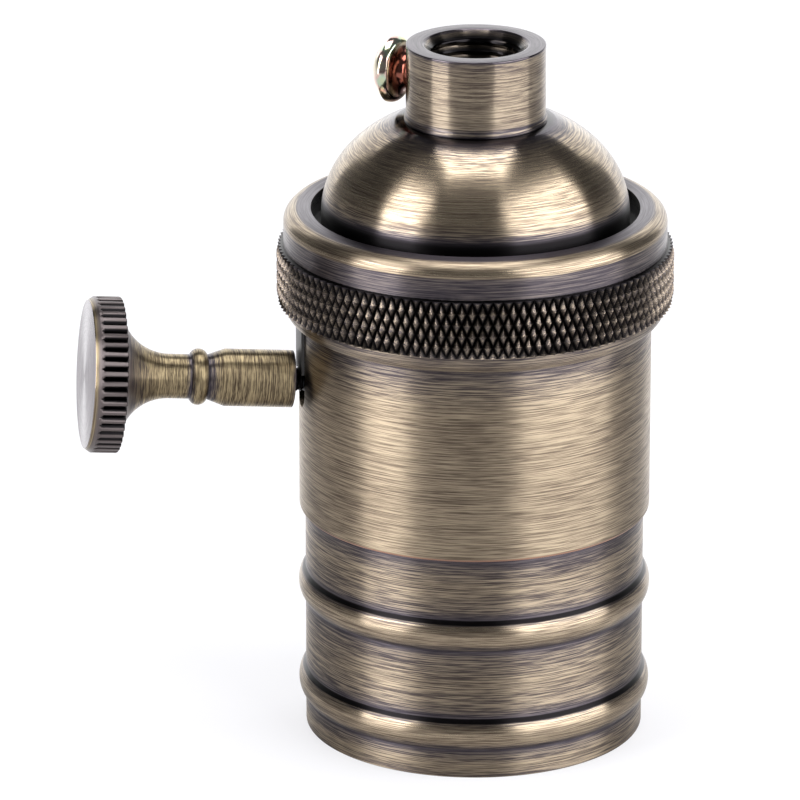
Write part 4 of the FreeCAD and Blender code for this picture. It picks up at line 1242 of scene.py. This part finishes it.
@dataclass
class LampMouth:
    """The rolled screw shell that takes the lamp's cap."""

    major: float = 0.01328
    minor: float = 0.01218
    pitch: float = 0.003629
    sheet: float = 0.00035
    lip: float = 0.01345
    lip_length: float = 0.0024
    bottom: float = 0.001
    top: float = 0.0261
    top_radius: float = 0.0127
    top_length: float = 0.0012
    fade: float = 0.002
    hole: float = 0.0070

    @staticmethod
    def ease(share: float) -> float:
        """Rise smoothly from 0 to 1."""
        share = min(max(share, 0.0), 1.0)
        return share * share * (3 - 2 * share)

    def radius(self, turn: float, z: float) -> float:
        """Return the sheet's inner radius.

        Args:
            turn: The angle round the axis, in radians.
            z: The height.

        Returns:
            The radius there.
        """
        low = self.bottom + self.lip_length
        high = self.top - self.sheet - self.top_length
        rise = self.ease((z - low) / self.fade)
        fall = 1 - self.ease((z - high + self.fade) / self.fade)
        mean = (self.major + self.minor) / 2
        wave = (self.major - self.minor) / 2 * rise * fall
        base = self.lip + (mean - self.lip) * rise + (self.top_radius - mean) * (1 - fall)
        return base + wave * math.cos(FULL_TURN * z / self.pitch - turn)

    def build(self) -> None:
        """Make the screw shell."""
        under = self.top - self.sheet
        outer = span(self.lip + self.sheet, self.bottom, self.top, 110)
        points = outer[::-1] + span(self.lip, self.bottom, under, 110)
        points += [(self.hole, under), (self.hole, self.top), outer[-1]]
        piece = turned("lamp_thread", points, 128)
        for vertex, turn, radius, z in polar(piece):
            if radius > self.lip - 1e-5:
                wall = self.sheet if radius > self.lip + self.sheet / 2 else 0.0
                push(vertex, self.radius(turn, z) + wall)
        finish = PlainMetal("sheet_brass", (0.78, 0.60, 0.30, 1), (0.52, 0.37, 0.16, 1), 0.24, 120.0)
        finished(smoothed(piece, 40), "core", ["screw_shell"], finish.build())


@dataclass
class Inside:
    """The finishes of the pieces that stay as plain solids."""

    finishes: Sequence[Moulded | PlainMetal] = (
        Moulded("porcelain", (0.86, 0.84, 0.79, 1), (0.74, 0.72, 0.66, 1), 0.32, relief=1.5e-5, sink=0.15),
        Moulded("black_plastic", (0.018, 0.018, 0.019, 1), (0.008, 0.008, 0.008, 1), 0.38),
        PlainMetal("plated_steel", (0.62, 0.63, 0.64, 1), (0.42, 0.42, 0.43, 1), 0.28),
        PlainMetal("contact_brass", (0.80, 0.62, 0.32, 1), (0.58, 0.42, 0.20, 1), 0.22),
    )

    def build(self) -> None:
        """Dress each remaining solid in the finish that has its slot's name."""
        materials = {finish.name: finish.build() for finish in self.finishes}
        slots = {entry["node"]: entry["material_slot"] for entry in frame["record"]["subparts"]}
        for name, node in frame["nodes"].items():
            material = materials.get(slots[name])
            if material is None or node.hide_render:
                continue
            node.data.materials.clear()
            node.data.materials.append(material)
            LOG.info("%s dressed in %s", name, material.name)


# ---- studio ----


def direction(azimuth: float, elevation: float) -> Vector:
    """Return the way from the holder at an azimuth and elevation in degrees, azimuth 0 being -Y."""
    turn, rise = math.radians(azimuth), math.radians(elevation)
    return Vector((math.sin(turn) * math.cos(rise), -math.cos(turn) * math.cos(rise), math.sin(rise)))


def aim(thing: Piece, place: Vector, target: Vector) -> None:
    """Put a lamp or camera in the scene and point it.

    Args:
        thing: The lamp or camera.
        place: Where it stands.
        target: What it looks at.
    """
    bpy.context.scene.collection.objects.link(thing)
    thing.location = place
    thing.rotation_euler = (target - place).to_track_quat("-Z", "Y").to_euler()


@dataclass
class Softbox:
    """A soft studio lamp, placed by its direction from the holder."""

    name: str
    azimuth: float
    elevation: float
    distance: float
    width: float
    height: float
    power: float

    def build(self, target: Vector) -> None:
        """Make the lamp.

        Args:
            target: The point it is aimed at.
        """
        data = bpy.data.lights.new(self.name, "AREA")
        data.shape = "RECTANGLE"
        data.size = self.width
        data.size_y = self.height
        data.energy = self.power
        place = target + direction(self.azimuth, self.elevation) * self.distance
        aim(bpy.data.objects.new(self.name, data), place, target)


@dataclass
class Studio:
    """Camera, floor, surroundings and lamps."""

    azimuth: float = -9.7
    elevation: float = 19.15
    distance: float = 0.7015
    aim_height: float = 0.03424
    aim_side: float = 0.00757
    lens: float = 311.6
    sensor: float = 36.0
    floor_half: float = 3.0
    paper: Colour = (0.60, 0.595, 0.60, 1)
    paper_seen: Colour = (0.27, 0.27, 0.275, 1)
    surround: float = 0.13
    glow: float = 0.66
    sweep: float = 0.5

    @property
    def middle(self) -> Vector:
        """The point on the holder's axis that the lamps are aimed at."""
        return Vector((0, 0, self.aim_height))

    def make_camera(self) -> None:
        """Place the camera and aim it a little to the knob's side of the axis."""
        data = bpy.data.cameras.new("camera")
        data.lens = self.lens
        data.sensor_width = self.sensor
        data.clip_start = 0.01
        away = direction(self.azimuth, self.elevation)
        left = away.cross(Vector((0, 0, 1))).normalized()
        camera = bpy.data.objects.new("camera", data)
        aim(camera, self.middle + away * self.distance, self.middle + left * self.aim_side)
        bpy.context.scene.camera = camera

    def make_floor(self) -> None:
        """Make the pale floor, which glows white to the camera and lights the holder from behind."""
        deselect()
        bpy.ops.mesh.primitive_plane_add(size=2 * self.floor_half, location=(0, 0, 0))
        floor = bpy.context.object
        floor.name = "floor"
        graph = Graph("floor_paper")
        seen = graph.add("LightPath").outputs["Is Camera Ray"]
        graph.put("Base Color", graph.mix(seen, self.paper, self.paper_seen))
        graph.put("Emission Color", (0.97, 0.97, 1.0, 1))
        away = direction(self.azimuth + 180, 0)
        x, y, _ = graph.parts(graph.vector("NORMALIZE", graph.coordinates()).outputs[0])
        behind = graph.math("MULTIPLY_ADD", x, away.x, graph.math("MULTIPLY", y, away.y))
        sweep = graph.math("MULTIPLY", graph.levels(behind, 0.55, 0.85), self.sweep)
        unseen = graph.math("MULTIPLY", graph.math("SUBTRACT", 1.0, seen), sweep)
        graph.put("Emission Strength", graph.math("MULTIPLY_ADD", seen, self.glow, unseen))
        graph.put("Roughness", 0.9)
        graph.put("Specular IOR Level", 0.1)
        floor.data.materials.append(graph.material)

    def make_surroundings(self) -> None:
        """Light the room evenly, and show it white behind the holder."""
        world = bpy.data.worlds.new("room")
        bpy.context.scene.world = world
        world.use_nodes = True
        nodes, links = world.node_tree.nodes, world.node_tree.links
        nodes.clear()
        mix = nodes.new("ShaderNodeMixShader")
        links.new(nodes.new("ShaderNodeLightPath").outputs["Is Camera Ray"], mix.inputs[0])
        shades = (((0.95, 0.97, 1.0, 1), self.surround), ((1, 1, 1, 1), 1.0))
        for socket, (colour, strength) in zip(mix.inputs[1:], shades):
            light = nodes.new("ShaderNodeBackground")
            light.inputs[0].default_value = colour
            light.inputs[1].default_value = strength
            links.new(light.outputs[0], socket)
        links.new(mix.outputs[0], nodes.new("ShaderNodeOutputWorld").inputs[0])

    def build(self) -> None:
        """Make the whole studio."""
        self.make_camera()
        self.make_floor()
        self.make_surroundings()
        lamps = (
            Softbox("right_softbox", self.azimuth + 62, 18, 0.75, 0.96, 1.0, 15.2),
            Softbox("left_softbox", self.azimuth - 60, 18, 0.75, 0.42, 1.0, 8.8),
            Softbox("top_softbox", self.azimuth + 180, 80, 0.8, 0.43, 0.5, 3.8),
            Softbox("backdrop", self.azimuth + 180, 5, 1.2, 1.9, 1.6, 16.0),
        )
        for lamp in lamps:
            lamp.build(self.middle)
        bpy.context.scene.view_settings.view_transform = "Standard"


# ---- all together ----


def main() -> None:
    """Build the studio and every piece."""
    logging.basicConfig(level=logging.INFO, format="%(name)s: %(message)s")
    for maker in (Studio(), Shell(), Collar(), Cap(), Knob(), LampMouth(), Inside()):
        LOG.info("building %s", type(maker).__name__)
        maker.build()


if __name__ == "__main__":
    main()
